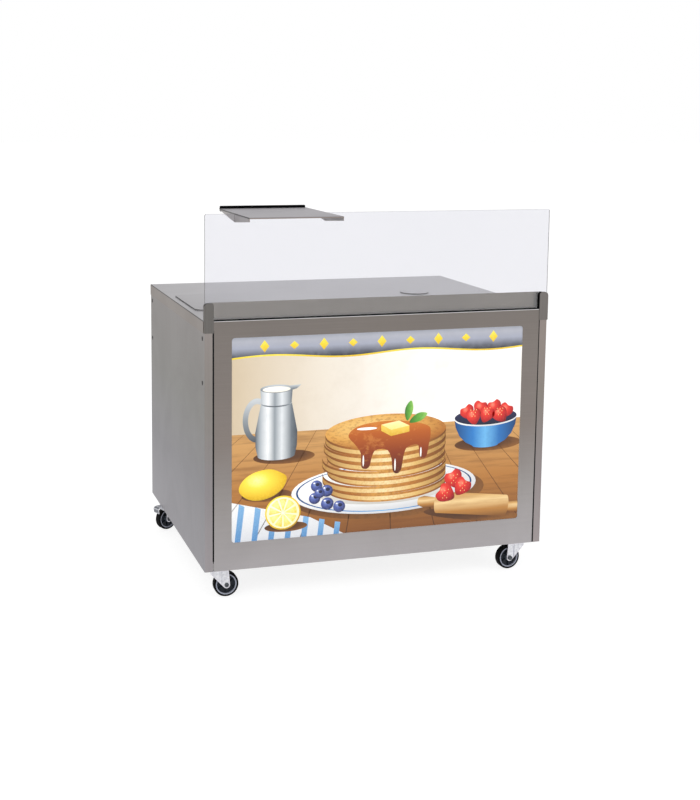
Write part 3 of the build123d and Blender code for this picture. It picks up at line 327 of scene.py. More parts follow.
@dataclass(frozen=True)
class BrushedSheet(Finish):
    """Brushed stainless sheet: upright faces toned by height as painted shade, upward faces given a painted
    reflection tone apart, bends drawn as lines of painted shade and painted highlight.

    A sheet of full metal is duller on its inward faces, which see no open light.
    """

    grain: Grain = Grain.ALONG_X
    # Painted shade by height on upright faces, and a painted reflection tone on upward faces.
    shade_by_height: Stops = ((0.1, "a8a6a6"), (0.9, "969390"))
    top: str = "a3a1a4"
    roughness: float = 0.36
    graze: float = 0.7
    # Share of a painted warm reflection tint on front faces.
    warmth: float = 0.0
    # Colour of a painted shade line where left faces bend up, then share and colour of a painted highlight
    # where front faces bend up.
    bend_shade: str = "2e2b29"
    glint_share: float = 0.55
    glint: str = "d9d8d8"
    # A painted reflection tone towards the left of upward faces, and a painted tone of front faces.
    top_left: str = ""
    ahead: str = ""
    metal: float = 1.0
    inner_metal: float = 0.4
    left_span: tuple[float, float] = (-0.56, -0.2)
    inward_span: tuple[float, float] = (-0.3, -0.2)
    # Colour of the painted warm reflection tint.
    WARM: ClassVar[Triple] = (0.97, 0.88, 0.83)
    LEVEL: ClassVar[Triple] = (1.0, 1.0, 0.0)
    LEFT: ClassVar[Triple] = (-1.0, 0.0, 0.0)
    STREAK_ROUGH: ClassVar[float] = 0.08
    MARK_ROUGH: ClassVar[float] = 0.06

    def fill(self, graph: Graph, shader: Sockets, coords: Sockets) -> None:
        """Painted shade by height and direction, then streaks, soft marks, and lines of painted highlight and
        painted shade along the bends.

        Args:
            graph: The material's graph.
            shader: The Principled shader's sockets.
            coords: The texture coordinates' outputs.
        """
        place, normal = coords["Object"], coords["Normal"]
        grain = graph.group("brushed_grain", Vector=place, Stretch=self.grain.value)
        mark = graph.group("handling_marks", Vector=place, Scale=3.5)["Mark"]
        front_bend_glint = graph.group("fold_line", Normal=normal, Start=0.08, Full=0.3)["Fold"]
        left_bend_shade = graph.group("fold_line", Normal=normal, From=self.LEFT)["Fold"]
        tone = self.facing_tone(graph, place, normal)
        # Streaks, bands and marks are the sheet's own; the two bend lines are painted highlight and painted
        # shade.
        for mask, share, code in (
            (grain["Streak"], 0.07, "d2d0ce"), (grain["Band"], 0.05, "6b6763"), (mark, 0.05, "68645f"),
            (front_bend_glint, self.glint_share, self.glint), (left_bend_shade, 0.95, self.bend_shade),
        ):
            tone = graph.veil(tone, mask, share, code)
        rough = graph.span(grain["Streak"], 0.0, 1.0, self.roughness, self.roughness + self.STREAK_ROUGH)
        graph.feed(shader["Base Color"], tone)
        graph.feed(shader["Roughness"], graph.math("ADD", rough, graph.scaled(mark, self.MARK_ROUGH)))
        if self.metal < 1.0:
            shader["Metallic"].default_value = self.metal
        else:
            outward = graph.vector("DOT_PRODUCT", graph.vector("MULTIPLY", place, self.LEVEL), normal)
            graph.feed(shader["Metallic"], graph.span(outward, *self.inward_span, self.inner_metal, 1.0))
        shader["Specular Tint"].default_value = (self.graze, self.graze, self.graze, 1.0)
        self.bump(graph, shader, grain["Streak"], strength=0.03, mm=0.1)

    def facing_tone(self, graph: Graph, place: Socket, normal: Socket) -> Socket:
        """Work out the painted tone of a face, which stands for the light and shade on it.

        Args:
            graph: The material's graph.
            place: The place on the cart.
            normal: The way the face looks.

        Returns:
            The painted shade by height, with a painted warm tint and tone on front faces and a painted
            reflection tone on upward faces.
        """
        facing = graph.group("facing", Normal=normal)
        axes = graph.node("ShaderNodeSeparateXYZ", {0: place}).outputs
        low, high = self.shade_by_height[0][0], self.shade_by_height[-1][0]
        stops = [((z - low) / (high - low), code) for z, code in self.shade_by_height]
        tone = graph.ramp(graph.span(axes["Z"], low, high), stops)
        # Painted warm reflection tint on front faces, then their own painted tone where one is given.
        tone = graph.mix(graph.scaled(facing["Ahead"], self.warmth), tone, self.WARM, "MULTIPLY")
        if self.ahead:
            tone = graph.mix(facing["Ahead"], tone, ink(self.ahead))
        # Upward faces take a painted reflection tone, running to a left tone towards the left.
        across = graph.span(axes["X"], *self.left_span)
        top = graph.mix(across, ink(self.top_left or self.top), ink(self.top))
        return graph.mix(facing["Up"], tone, top)


@dataclass(frozen=True)
class ZincPlate(Finish):
    """Bright zinc plating with faint cloudy crystals."""

    light: str = "ecedf1"
    dark: str = "c9c9d0"
    roughness: float = 0.28
    METAL: ClassVar[float] = 0.85
    GRIT_ROUGH: ClassVar[float] = 0.14

    def fill(self, graph: Graph, shader: Sockets, coords: Sockets) -> None:
        """Cloudy plating with a little grit in its roughness.

        Args:
            graph: The material's graph.
            shader: The Principled shader's sockets.
            coords: The texture coordinates' outputs.
        """
        place = coords["Object"]
        spots = graph.group("speckle", Vector=place, Scale=140.0, Low=0.35, High=0.7)
        mark = graph.group("handling_marks", Vector=place, Scale=35.0)["Mark"]
        tone = graph.mix(spots["Spot"], ink(self.light), ink(self.dark))
        rough = graph.span(spots["Grit"], 0.3, 0.7, self.roughness, self.roughness + self.GRIT_ROUGH)
        graph.feed(shader["Base Color"], graph.veil(tone, mark, 0.12, "8d8f90"))
        graph.feed(shader["Roughness"], rough)
        shader["Metallic"].default_value = self.METAL
        self.bump(graph, shader, spots["Grit"], strength=0.05, mm=0.1)


@dataclass(frozen=True)
class ClearGlass(Finish):
    """Clear sheet glass with darker cut edges."""

    face: str = "e8e8ed"
    smear: str = "dcdee4"
    edge: str = "6f7a78"
    IOR: ClassVar[float] = 1.8

    def fill(self, graph: Graph, shader: Sockets, coords: Sockets) -> None:
        """Tint by which way the surface looks: broad faces clear, cut edges dark.

        Args:
            graph: The material's graph.
            shader: The Principled shader's sockets.
            coords: The texture coordinates' outputs.
        """
        across = graph.node("ShaderNodeSeparateXYZ", {0: coords["Normal"]}).outputs["Y"]
        broad = graph.span(graph.math("ABSOLUTE", across), 0.4, 0.8)
        mark = graph.group("handling_marks", Vector=coords["Object"], Scale=3.0)["Mark"]
        face = graph.veil(ink(self.face), mark, 0.15, self.smear)
        graph.feed(shader["Base Color"], graph.mix(broad, ink(self.edge), face))
        graph.feed(shader["Roughness"], graph.scaled(mark, 0.015))
        shader["Transmission Weight"].default_value = 1.0
        shader["IOR"].default_value = self.IOR


@dataclass(frozen=True)
class Moulded(Finish):
    """Moulded plastic or rubber with a fine skin texture."""

    colour: str = "202124"
    lift: str = "3a3b3e"
    roughness: float = 0.5
    grit: float = 0.12
    scale: float = 260.0
    gloss: float = 0.5
    MARK_ROUGH: ClassVar[float] = 0.15

    def fill(self, graph: Graph, shader: Sockets, coords: Sockets) -> None:
        """Skin texture and slight changes of tone.

        Args:
            graph: The material's graph.
            shader: The Principled shader's sockets.
            coords: The texture coordinates' outputs.
        """
        place = coords["Object"]
        spots = graph.group("speckle", Vector=place, Scale=self.scale, Low=0.4, High=0.75)
        mark = graph.group("handling_marks", Vector=place, Scale=28.0)["Mark"]
        tone = graph.veil(ink(self.colour), spots["Spot"], 0.35, self.lift)
        graph.feed(shader["Base Color"], graph.veil(tone, mark, 0.2, self.lift))
        rough = graph.span(mark, 0.0, 1.0, self.roughness, self.roughness + self.MARK_ROUGH)
        graph.feed(shader["Roughness"], rough)
        shader["Specular IOR Level"].default_value = self.gloss
        self.bump(graph, shader, spots["Grit"], self.grit, mm=0.2)


@dataclass(frozen=True)
class WheelHub(Finish):
    """Hub with a paler outer ring, the grey rim with a painted highlight on its lip, and a dark recess."""

    centre: Triple = (0.0, 0.0, 0.0)
    axis: Triple = (0.0, 1.0, 0.0)
    ring_at: float = 30.0
    boss_at: float = 12.4
    soft: float = 0.5
    GLOSS: ClassVar[float] = 0.25

    def fill(self, graph: Graph, shader: Sockets, coords: Sockets) -> None:
        """Tone by distance from the axle, with moulding grit.

        Args:
            graph: The material's graph.
            shader: The Principled shader's sockets.
            coords: The texture coordinates' outputs.
        """
        place = coords["Object"]
        radius = graph.group("wheel_rings", Vector=place, Centre=self.centre, Axis=self.axis)["Radius"]
        ring = graph.span(radius, (self.ring_at - self.soft) * MM, self.ring_at * MM)
        boss = graph.span(radius, self.boss_at * MM, (self.boss_at + self.soft) * MM, 1.0, 0.0)
        spots = graph.group("speckle", Vector=place, Scale=220.0, Low=0.35, High=0.75)
        recess = graph.mix(spots["Spot"], ink("0e131b"), ink("232b37"))
        # The paler ring is the rim's grey with a painted highlight on its lip.
        tone = graph.mix(ring, recess, graph.mix(spots["Spot"], ink("9a9eae"), ink("b2b6c3")))
        graph.feed(shader["Base Color"], graph.mix(boss, tone, ink("4a525c")))
        graph.feed(shader["Roughness"], graph.span(spots["Grit"], 0.3, 0.7, 0.38, 0.52))
        shader["Specular IOR Level"].default_value = self.GLOSS
        self.bump(graph, shader, spots["Grit"], strength=0.08, mm=0.15)


@dataclass(frozen=True)
class Printed(Finish):
    """Ink on the backlit sign: a run of colours with mottling, faintly lit from behind."""

    stops: Stops = ((0.0, "ffffff"), (1.0, "ffffff"))
    shade: Shade = Shade.UPWARDS
    mottle: str = "ffffff"
    amount: float = 0.0
    scale: float = 60.0
    stretch: Triple = (1.0, 1.0, 1.0)
    spread: tuple[float, float] = (0.45, 0.65)
    glow: float = 0.22
    LIGHT_AT: ClassVar[Triple] = (0.38, 0.66, 0.0)
    LIGHT_REACH: ClassVar[float] = 0.72

    def fill(self, graph: Graph, shader: Sockets, coords: Sockets) -> None:
        """Colours by the shape's own coordinates, mottled by place.

        Args:
            graph: The material's graph.
            shader: The Principled shader's sockets.
            coords: The texture coordinates' outputs.
        """
        own = graph.node("ShaderNodeSeparateXYZ", {0: coords["UV"]}).outputs
        if self.shade is Shade.ACROSS:
            value = own["X"]
        elif self.shade is Shade.UPWARDS:
            value = own["Y"]
        else:
            value = graph.span(graph.vector("DISTANCE", coords["UV"], self.LIGHT_AT), 0.0, self.LIGHT_REACH)
        place = graph.vector("MULTIPLY", coords["Object"], self.stretch)
        low, high = self.spread
        spots = graph.group("speckle", Vector=place, Scale=self.scale, Low=low, High=high)
        tone = graph.veil(graph.ramp(value, self.stops), spots["Spot"], self.amount, self.mottle)
        graph.feed(shader["Base Color"], tone)
        graph.feed(shader["Emission Color"], tone)
        shader["Emission Strength"].default_value = self.glow
        graph.feed(shader["Roughness"], graph.span(spots["Grit"], 0.3, 0.7, 0.3, 0.42))


# Painted shade: the front lighter towards the floor and darker towards the top, with a painted highlight
# along its top bend.
FRONT_SHEET = BrushedSheet(
    "front_sheet", Grain.ALONG_X, ((0.1, "aeaaac"), (0.32, "9b9694"), (0.5, "887f7a"), (0.88, "7d7671")),
    glint_share=1.0, glint="f4f3f3",
)
# Painted shade by height on both sides, and a painted warm reflection tint on their front returns, twice as
# strong on the right: lit and shaded copies of one steel.
LEFT_SIDE = BrushedSheet(
    "left_side_sheet", Grain.ALONG_Z, ((0.1, "a2a0a5"), (0.35, "949296"), (0.6, "8e8c89"), (0.88, "979290")),
    warmth=0.5,
)
RIGHT_SIDE = replace(LEFT_SIDE, name="right_side_sheet", warmth=1.0)
# Painted light on the worktop: its lip and upstand toned by height as painted shade, its upward faces a
# painted reflection tone, darker on the uncovered left.
TOP_SHEET = BrushedSheet(
    "top_sheet", Grain.ALONG_X, ((0.84, "847b75"), (0.884, "847b75"), (0.888, "948b7c"), (0.95, "948b7c")),
    "bab8bb", graze=0.9, top_left="adabae",
)
# The two posts are one steel in two shades: painted shade, darker on the left post.
LEFT_POST = BrushedSheet("left_post_sheet", Grain.ALONG_Z, ((0.86, "6a6764"), (0.95, "6d6a67")))
RIGHT_POST = BrushedSheet("right_post_sheet", Grain.ALONG_Z, ((0.86, "75706d"), (0.95, "7a7572")))
# Painted light on the shelf: a near-black band along the top of its upright faces as a painted shadow line,
# and painted tones on its front and upward faces.
SHELF_SHEET = BrushedSheet(
    "shelf_sheet", Grain.ALONG_X, ((1.18, "9f9a99"), (1.208, "9f9a99"), (1.2092, "2b2827"), (1.22, "2b2827")),
    "8e8a90", 0.34, 0.95, ahead="968b86", glint_share=0.0,
)
# Painted shade by height on the pan and collar, and a painted reflection tone on their upward faces.
PAN_SHEET = BrushedSheet("pan_sheet", Grain.ALONG_Y, ((0.78, "b4b2b6"), (0.9, "aaa8ab")), "b0aeb1", graze=0.9)
# Painted shade: near-black upright flanks on the lid and cap, and a painted reflection tone on their upward
# faces, darker on the left.
LID_SHEET = BrushedSheet(
    "lid_sheet", Grain.ALONG_X, ((0.88, "2a2826"), (0.9, "2a2826")), "b8b6b9", graze=0.9, top_left="a6a4a7"
)
INNER_SHEET = BrushedSheet("inner_sheet", metal=0.4)
# Rivet steel darkened as painted shade round the heads.
RIVET_SHADE_STEEL = ZincPlate("rivet_shade_steel", "6d6a67", "4d4a48", 0.3)
ZINC = ZincPlate("zinc_plate")
# Paler zinc for the fork's raised border: painted highlight.
BORDER_GLINT_ZINC = ZincPlate("border_glint_zinc", "f1eff5", "d8d5de", 0.3)
# Darker zinc for the line in the fork's pressed step: painted shade.
CREASE_SHADE_ZINC = ZincPlate("crease_shade_zinc", "a4a6b6", "8e91a3", 0.4)
AXLE_STEEL = ZincPlate("axle_steel", "5d6166", "3d4146", 0.35)
CAP_ALLOY = ZincPlate("cap_alloy", "d9dadc", "b4b6ba", 0.32)
GLASS = ClearGlass("screen_glass")
# Dark grey skin on the glass's edge: painted shade.
GLASS_EDGE_SHADE = Moulded("glass_edge_shade", "26282b", "35373b", 0.3, 0.05, 160.0, 0.2)
GASKET = Moulded("gasket_rubber", "101113", "1e1f22", 0.6, 0.1, 300.0, 0.1)
TRIM = Moulded("shelf_trim", "020203", "08080a", 0.5, 0.05, 200.0, 0.03)
TYRE = Moulded("tyre_rubber", "060607", "121214", 0.65, 0.18, 320.0, 0.08)
ENAMEL = Moulded("white_enamel", "dededa", "eaeae6", 0.32, 0.06, 120.0)
LAMP = Moulded("lamp_opal", "efefeb", "f8f8f5", 0.2, 0.02, 90.0)
SOCKET = Moulded("lamp_socket", "d6d6d2", "e9e9e4", 0.45, 0.08, 200.0)
BLACK_NYLON = Moulded("black_nylon", "1e1f21", "37383b", 0.48, 0.14, 260.0)
ROCKER = Moulded("rocker_gloss", "141416", "26272a", 0.22, 0.04, 180.0)
MARK_WHITE = Moulded("mark_white", "dededa", "eaeae6", 0.5, 0.05, 180.0)
PEDAL_GREY = Moulded("pedal_grip", "7d8087", "9b9ea4", 0.5, 0.16, 260.0)
PALE_FLOOR = Moulded("pale_floor", "f4f4f3", "f8f8f7", 0.8, 0.0, 2.0)
OPAL_SHEET = Printed("opal_sheet", ((0.0, "efece6"), (1.0, "f6f4f0")), amount=0.05, mottle="d8d2c6")

WALL_INK = Printed(
    "wall_ink", ((0.0, "cdbb9f"), (0.3, "e4dacb"), (0.62, "f4f1ec"), (1.0, "fbfaf8")), Shade.ACROSS,
    "bfae94", 0.12, 9.0,
)
TABLE_INK = Printed(
    "table_ink", ((0.0, "7d4c22"), (0.45, "b07639"), (1.0, "cf9f63")), Shade.UPWARDS,
    "6a3d1a", 0.4, 9.0, (0.6, 1.0, 9.0), (0.46, 0.68),
)
PLANK_INK = Printed("plank_ink", ((0.0, "4f2d12"), (1.0, "8a5a2c")))
SUN_INK = Printed("sun_ink", ((0.0, "fdfcfa"), (1.0, "f6f3ee")), Shade.UPWARDS, "e9e4da", 0.1, 8.0)
BANNER_INK = Printed(
    "banner_ink", ((0.0, "2b2c31"), (0.2, "5f626d"), (0.5, "9ea2b1"), (0.8, "a9abb5"), (1.0, "989ba6")),
    Shade.UPWARDS, "c7cad8", 0.08, 30.0,
)
GOLD_INK = Printed("gold_ink", ((0.0, "e0b514"), (1.0, "f9e648")), Shade.UPWARDS, "fff3a0", 0.15, 120.0)
SHADOW_INK = Printed(
    "shadow_ink", ((0.0, "3f230e"), (0.6, "5d381a"), (1.0, "8a5a2b")), Shade.ROUND, "2e190a", 0.2
)
CHINA_INK = Printed(
    "china_ink", ((0.0, "ffffff"), (0.6, "f1f1f0"), (1.0, "c9cbd0")), Shade.ROUND, "e4e4e2", 0.1
)
WELL_INK = Printed(
    "well_ink", ((0.0, "c9c6c0"), (0.5, "dedbd5"), (1.0, "f4f3f0")), Shade.UPWARDS, "b9b5ad", 0.1
)
BLUE_INK = Printed(
    "blue_ink", ((0.0, "133f74"), (0.3, "2f7cc4"), (0.5, "6db4e6"), (0.72, "2a6fb3"), (1.0, "123765")),
    Shade.ACROSS, "1d5796", 0.12, 70.0,
)
CRUST_INK = Printed(
    "crust_ink", ((0.0, "6b3d14"), (0.2, "a8682a"), (0.45, "d39a4c"), (0.7, "b87733"), (1.0, "5f3410")),
    Shade.ACROSS, "8a4f1c", 0.45, 90.0,
)
CRUMB_INK = Printed(
    "crumb_ink", ((0.0, "a97a3c"), (0.25, "e3bf7c"), (0.5, "f6e0ac"), (0.75, "e0b971"), (1.0, "94662e")),
    Shade.ACROSS, "d2a35a", 0.5, 150.0,
)
CAKE_INK = Printed(
    "cake_ink", ((0.0, "f2cd80"), (0.55, "dca452"), (0.88, "b06f2d"), (1.0, "8a501c")), Shade.ROUND,
    "a0612a", 0.5, 55.0, (1.0, 1.0, 2.6), (0.5, 0.62),
)
SYRUP_INK = Printed(
    "syrup_ink", ((0.0, "4d1907"), (0.4, "85340e"), (0.78, "b45a1b"), (1.0, "cf7a2b")), Shade.UPWARDS,
    "e39c4c", 0.3, 26.0, (1.0, 1.0, 1.6), (0.56, 0.66),
)
BUTTER_INK = Printed("butter_ink", ((0.0, "fbe27c"), (1.0, "fff3b4")), Shade.UPWARDS, "fff9d8", 0.2, 90.0)
BUTTER_SHADE = Printed("butter_shade", ((0.0, "d9ab33"), (1.0, "f3d05a")), Shade.UPWARDS, "f7df86", 0.2, 90.0)
RED_INK = Printed(
    "red_ink", ((0.0, "ff8a72"), (0.3, "e2352b"), (0.75, "b0141b"), (1.0, "700a12")), Shade.ROUND,
    "f0604e", 0.15, 160.0,
)
SEED_INK = Printed("seed_ink", ((0.0, "f3d27a"), (1.0, "f9e6a6")))
BERRY_INK = Printed(
    "berry_ink", ((0.0, "93a3d6"), (0.35, "4c5da4"), (0.8, "272f63"), (1.0, "161a3a")), Shade.ROUND,
    "8f9cc8", 0.2, 140.0,
)
NAVY_INK = Printed("navy_ink", ((0.0, "10142e"), (1.0, "232a52")))
LEAF_INK = Printed(
    "leaf_ink", ((0.0, "2f6b22"), (0.5, "5fa53c"), (1.0, "93c95f")), Shade.ACROSS, "3d7d2b", 0.3, 110.0
)
STEEL_INK = Printed(
    "steel_ink",
    ((0.0, "4d545c"), (0.12, "aeb5bb"), (0.3, "f2f4f5"), (0.46, "8c949b"), (0.63, "dfe3e6"), (0.86, "6a727a"),
     (1.0, "3f464d")),
    Shade.ACROSS, "9aa1a7", 0.1, 40.0,
)
STEEL_DARK = Printed("steel_dark", ((0.0, "4a5057"), (0.5, "8b9298"), (1.0, "c9ced2")))
MILK_INK = Printed("milk_ink", ((0.0, "fffdf7"), (1.0, "ece8de")), Shade.ROUND, "f6f2e8", 0.2, 30.0)
LEMON_INK = Printed(
    "lemon_ink", ((0.0, "fffba6"), (0.35, "fae34a"), (0.8, "e0b21b"), (1.0, "a97b10")), Shade.ROUND,
    "f6d93c", 0.35, 230.0,
)
PITH_INK = Printed("pith_ink", ((0.0, "fffbe6"), (1.0, "f6eebc")), Shade.ROUND)
PULP_INK = Printed("pulp_ink", ((0.0, "fff59a"), (1.0, "efd23c")), Shade.ROUND, "fffbd0", 0.4, 190.0)
CLOTH_INK = Printed("cloth_ink", ((0.0, "d5d8de"), (1.0, "f5f5f4")), Shade.UPWARDS, "c6cad2", 0.25, 240.0)
STRIPE_INK = Printed("stripe_ink", ((0.0, "4f86bd"), (1.0, "7db0dc")), Shade.UPWARDS, "a8cbe8", 0.3, 240.0)
PIN_INK = Printed(
    "pin_ink", ((0.0, "6f431c"), (0.3, "b7803f"), (0.62, "efcf96"), (0.82, "d3a564"), (1.0, "8a5a2a")),
    Shade.UPWARDS, "a66f35", 0.3, 12.0, (0.6, 1.0, 6.0),
)
GLINT_INK = Printed("glint_ink", ((0.0, "fffdf6"), (1.0, "ffffff")))


def box_mm(node: str) -> tuple[Vector, Vector]:
    """A node's lowest and highest corners at rest, in millimetres."""
    low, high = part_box(node)
    return Vector(low) / MM, Vector(high) / MM


def joint_named(name: str) -> dict:
    """The frame's joint of that name."""
    return next(joint for joint in frame["joints"] if joint["name"] == name)


def dress(finish: Finish, *nodes: str) -> None:
    """Give CAD nodes a finish.

    Args:
        finish: The finish to build and assign.
        nodes: Names of the nodes.
    """
    material = finish.make()
    for name in nodes:
        mesh = frame["nodes"][name].data
        mesh.materials.clear()
        mesh.materials.append(material)
        LOG.info("dressed %s in %s", name, finish.name)


def mesh_from(name: str, shape: bmesh.types.BMesh, smooth: bool = False) -> bpy.types.Mesh:
    """Turn a bmesh into a mesh with outward normals.

    Args:
        name: Name of the mesh.
        shape: The bmesh, which is freed.
        smooth: Whether its faces are shaded smooth.

    Returns:
        The new mesh.
    """
    bmesh.ops.recalc_face_normals(shape, faces=shape.faces)
    for face in shape.faces:
        face.smooth = smooth
    mesh = bpy.data.meshes.new(name)
    shape.to_mesh(mesh)
    shape.free()
    return mesh


def add_piece(
    name: str, shape: bmesh.types.BMesh, body: str, slot: str, *finishes: Finish, smooth: bool = False
) -> None:
    """Make an object from a bmesh and let it ride.

    Args:
        name: Name of the new piece.
        shape: Its shape, in the part's frame, which is freed.
        body: The body that it moves with.
        slot: The record's material slot; not used.
        finishes: Its materials, in slot order.
        smooth: Whether its faces are shaded smooth.
    """
    piece = bpy.data.objects.new(name, mesh_from(name, shape, smooth))
    bpy.context.scene.collection.objects.link(piece)
    for finish in finishes:
        piece.data.materials.append(finish.make())
    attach(piece, body)
    LOG.info("added %s on %s", name, body)


def ellipse(cx: float, cy: float, rx: float, ry: float, start: float = 0.0, end: float = 360.0) -> Outline:
    """Draw an ellipse or part of one.

    Args:
        cx: Centre across.
        cy: Centre upwards.
        rx: Half width.
        ry: Half height.
        start: First angle, in degrees.
        end: Last angle, in degrees.

    Returns:
        Its points.
    """
    steps = max(8, int(abs(end - start) / 7.5))
    closed = abs(end - start) >= 360.0
    count = steps if closed else steps + 1
    turns = [math.radians(start + (end - start) * i / steps) for i in range(count)]
    return [(cx + rx * math.cos(t), cy + ry * math.sin(t)) for t in turns]


def smooth_loop(points: Outline, steps: int = 6) -> Outline:
    """Draw a soft closed curve through points.

    Args:
        points: What the curve goes through.
        steps: Pieces from one point to the next.

    Returns:
        The curve's points.
    """
    made: Outline = []
    count = len(points)
    for i in range(count):
        p0, p1, p2, p3 = (Vector(points[(i + k) % count]) for k in (-1, 0, 1, 2))
        for s in range(steps):
            t = s / steps
            a = 2 * p1 + (p2 - p0) * t
            b = (2 * p0 - 5 * p1 + 4 * p2 - p3) * t * t
            c = (3 * p1 - p0 - 3 * p2 + p3) * t**3
            made.append(tuple((a + b + c) / 2))
    return made


def moved(points: Outline, dx: float, dy: float) -> Outline:
    """Points moved across and up."""
    return [(x + dx, y + dy) for x, y in points]


def turned(points: Outline, cx: float, cy: float, angle: float) -> Outline:
    """Points turned about a centre, by an angle in degrees."""
    c, s = math.cos(math.radians(angle)), math.sin(math.radians(angle))
    return [(cx + (x - cx) * c - (y - cy) * s, cy + (x - cx) * s + (y - cy) * c) for x, y in points]


def clipped(points: Outline, low: tuple[float, float], high: tuple[float, float]) -> Outline:
    """Cut an outline to a rectangle.

    Args:
        points: The outline.
        low: The rectangle's lowest corner.
        high: Its highest corner.

    Returns:
        The part of the outline inside.
    """
    for axis, limit, sign in ((0, low[0], 1), (0, high[0], -1), (1, low[1], 1), (1, high[1], -1)):
        kept: Outline = []
        for i, here in enumerate(points):
            before = points[i - 1]
            inside = sign * (here[axis] - limit) >= 0
            was_inside = sign * (before[axis] - limit) >= 0
            if inside != was_inside:
                share = (limit - before[axis]) / (here[axis] - before[axis])
                kept.append(tuple(before[k] + share * (here[k] - before[k]) for k in (0, 1)))
            if inside:
                kept.append(here)
        points = kept
    return points


def box_outline(x0: float, z0: float, x1: float, z1: float) -> Outline:
    """Corners of an upright rectangle."""
    return [(x0, z0), (x1, z0), (x1, z1), (x0, z1)]


def band_outline(cx: float, low: float, high: float, rx: float, ry: float) -> Outline:
    """Front of a round slice seen a little from above, between two heights."""
    return ellipse(cx, low, rx, ry, 180.0, 360.0) + ellipse(cx, high, rx, ry, 360.0, 180.0)


def vessel_outline(cx: float, profile: Sequence[tuple[float, float]], foot: float, mouth: float) -> Outline:
    """Outline of a round vessel from heights and half widths.

    Args:
        cx: The vessel's middle.
        profile: Height and half width from the foot to the mouth.
        foot: Half height of the foot's ellipse.
        mouth: Half height of the mouth's ellipse; its near side is the upper edge.

    Returns:
        The outline.
    """
    (low, low_half), (high, high_half) = profile[0], profile[-1]
    right = [(cx + half, z) for z, half in profile[1:-1]]
    left = [(cx - half, z) for z, half in reversed(profile[1:-1])]
    base = ellipse(cx, low, low_half, foot, 180.0, 360.0)
    return base + right + ellipse(cx, high, high_half, mouth, 360.0, 180.0) + left


def hull(points: Outline) -> Outline:
    """Draw the convex outline round a set of points.

    Args:
        points: The points, in any order.

    Returns:
        The outline, anticlockwise.
    """
    ordered = sorted(set(points))
    made: Outline = []
    for run in (ordered, ordered[::-1]):
        chain: Outline = []
        for p in run:
            while len(chain) > 1:
                a, b, c = map(Vector, (*chain[-2:], p))
                if Matrix((b - a, c - a)).determinant() > 0:
                    break
                chain.pop()
            chain.append(p)
        made += chain[:-1]
    return made


def shrunk(outline: Outline, by: float) -> Outline:
    """Draw a convex outline in, point for point.

    Args:
        outline: The outline, anticlockwise.
        by: How far; a negative distance draws it out.

    Returns:
        The new outline.
    """
    made: Outline = []
    count = len(outline)
    for i in range(count):
        before, here, after = (Vector(outline[(i + k) % count]) for k in (-1, 0, 1))
        first, second = (here - before).normalized(), (after - here).normalized()
        inward = Vector((-first.y, first.x)) + Vector((-second.y, second.x))
        made.append(tuple(here + inward * (by / max(inward.length_squared / 2, 0.2))))
    return made


def basis(origin: Vector, u: Vector, v: Vector) -> Matrix:
    """A placing matrix from an origin in metres and two directions; the third is their cross."""
    turn = Matrix((u.normalized(), v.normalized(), u.cross(v).normalized())).transposed().to_4x4()
    return Matrix.Translation(origin) @ turn


UPRIGHT = basis(ORIGIN, X_AXIS, Z_AXIS)


def prism(shape: bmesh.types.BMesh, outline: Outline, low: float, high: float, place: Matrix) -> list:
    """Add a closed prism.

    Args:
        shape: The bmesh to add to.
        outline: Its section, in millimetres.
        low: Start of the prism along the section's normal.
        high: End of the prism.
        place: Where the section's plane stands, in metres.

    Returns:
        The new faces, the two ends first.
    """
    ends = [[shape.verts.new(place @ (Vector((u, v, w)) * MM)) for u, v in outline] for w in (low, high)]
    faces = [shape.faces.new(ends[0][::-1]), shape.faces.new(ends[1])]
    for i in range(len(outline)):
        faces.append(shape.faces.new((ends[0][i - 1], ends[0][i], ends[1][i], ends[1][i - 1])))
    return faces


def swept_ring(shape: bmesh.types.BMesh, sections: Sequence[Sequence[Vector]]) -> None:
    """Join closed sections, each to the next and the last to the first, into a closed ring.

    Args:
        shape: The bmesh to add to.
        sections: The sections' points, in metres.
    """
    rings = [[shape.verts.new(point) for point in section] for section in sections]
    for i, ring in enumerate(rings):
        before = rings[i - 1]
        for k in range(len(ring)):
            shape.faces.new((before[k - 1], before[k], ring[k], ring[k - 1]))


def lathe(shape: bmesh.types.BMesh, profile: Outline, place: Matrix, steps: int = 64) -> None:
    """Turn a closed profile round the placing matrix's Z.

    Args:
        shape: The bmesh to add to.
        profile: Radius and height, in millimetres.
        place: Where the axis stands, in metres.
        steps: Sections round the axis.
    """
    sections = []
    for i in range(steps):
        turn = 2 * math.pi * i / steps
        c, s = math.cos(turn), math.sin(turn)
        sections.append([place @ (Vector((r * c, r * s, w)) * MM) for r, w in profile])
    swept_ring(shape, sections)


def framed(
    shape: bmesh.types.BMesh, outer: Outline, inner: Outline, low: float, high: float, place: Matrix
) -> None:
    """Add a closed frame between two outlines.

    Args:
        shape: The bmesh to add to.
        outer: The outer outline, in millimetres.
        inner: The inner outline, point for point.
        low: Start of the frame along the outlines' normal.
        high: End of the frame.
        place: Where the outlines' plane stands, in metres.
    """
    sections = []
    for (u0, v0), (u1, v1) in zip(outer, inner):
        corners = ((u0, v0, low), (u0, v0, high), (u1, v1, high), (u1, v1, low))
        sections.append([place @ (Vector(corner) * MM) for corner in corners])
    swept_ring(shape, sections)


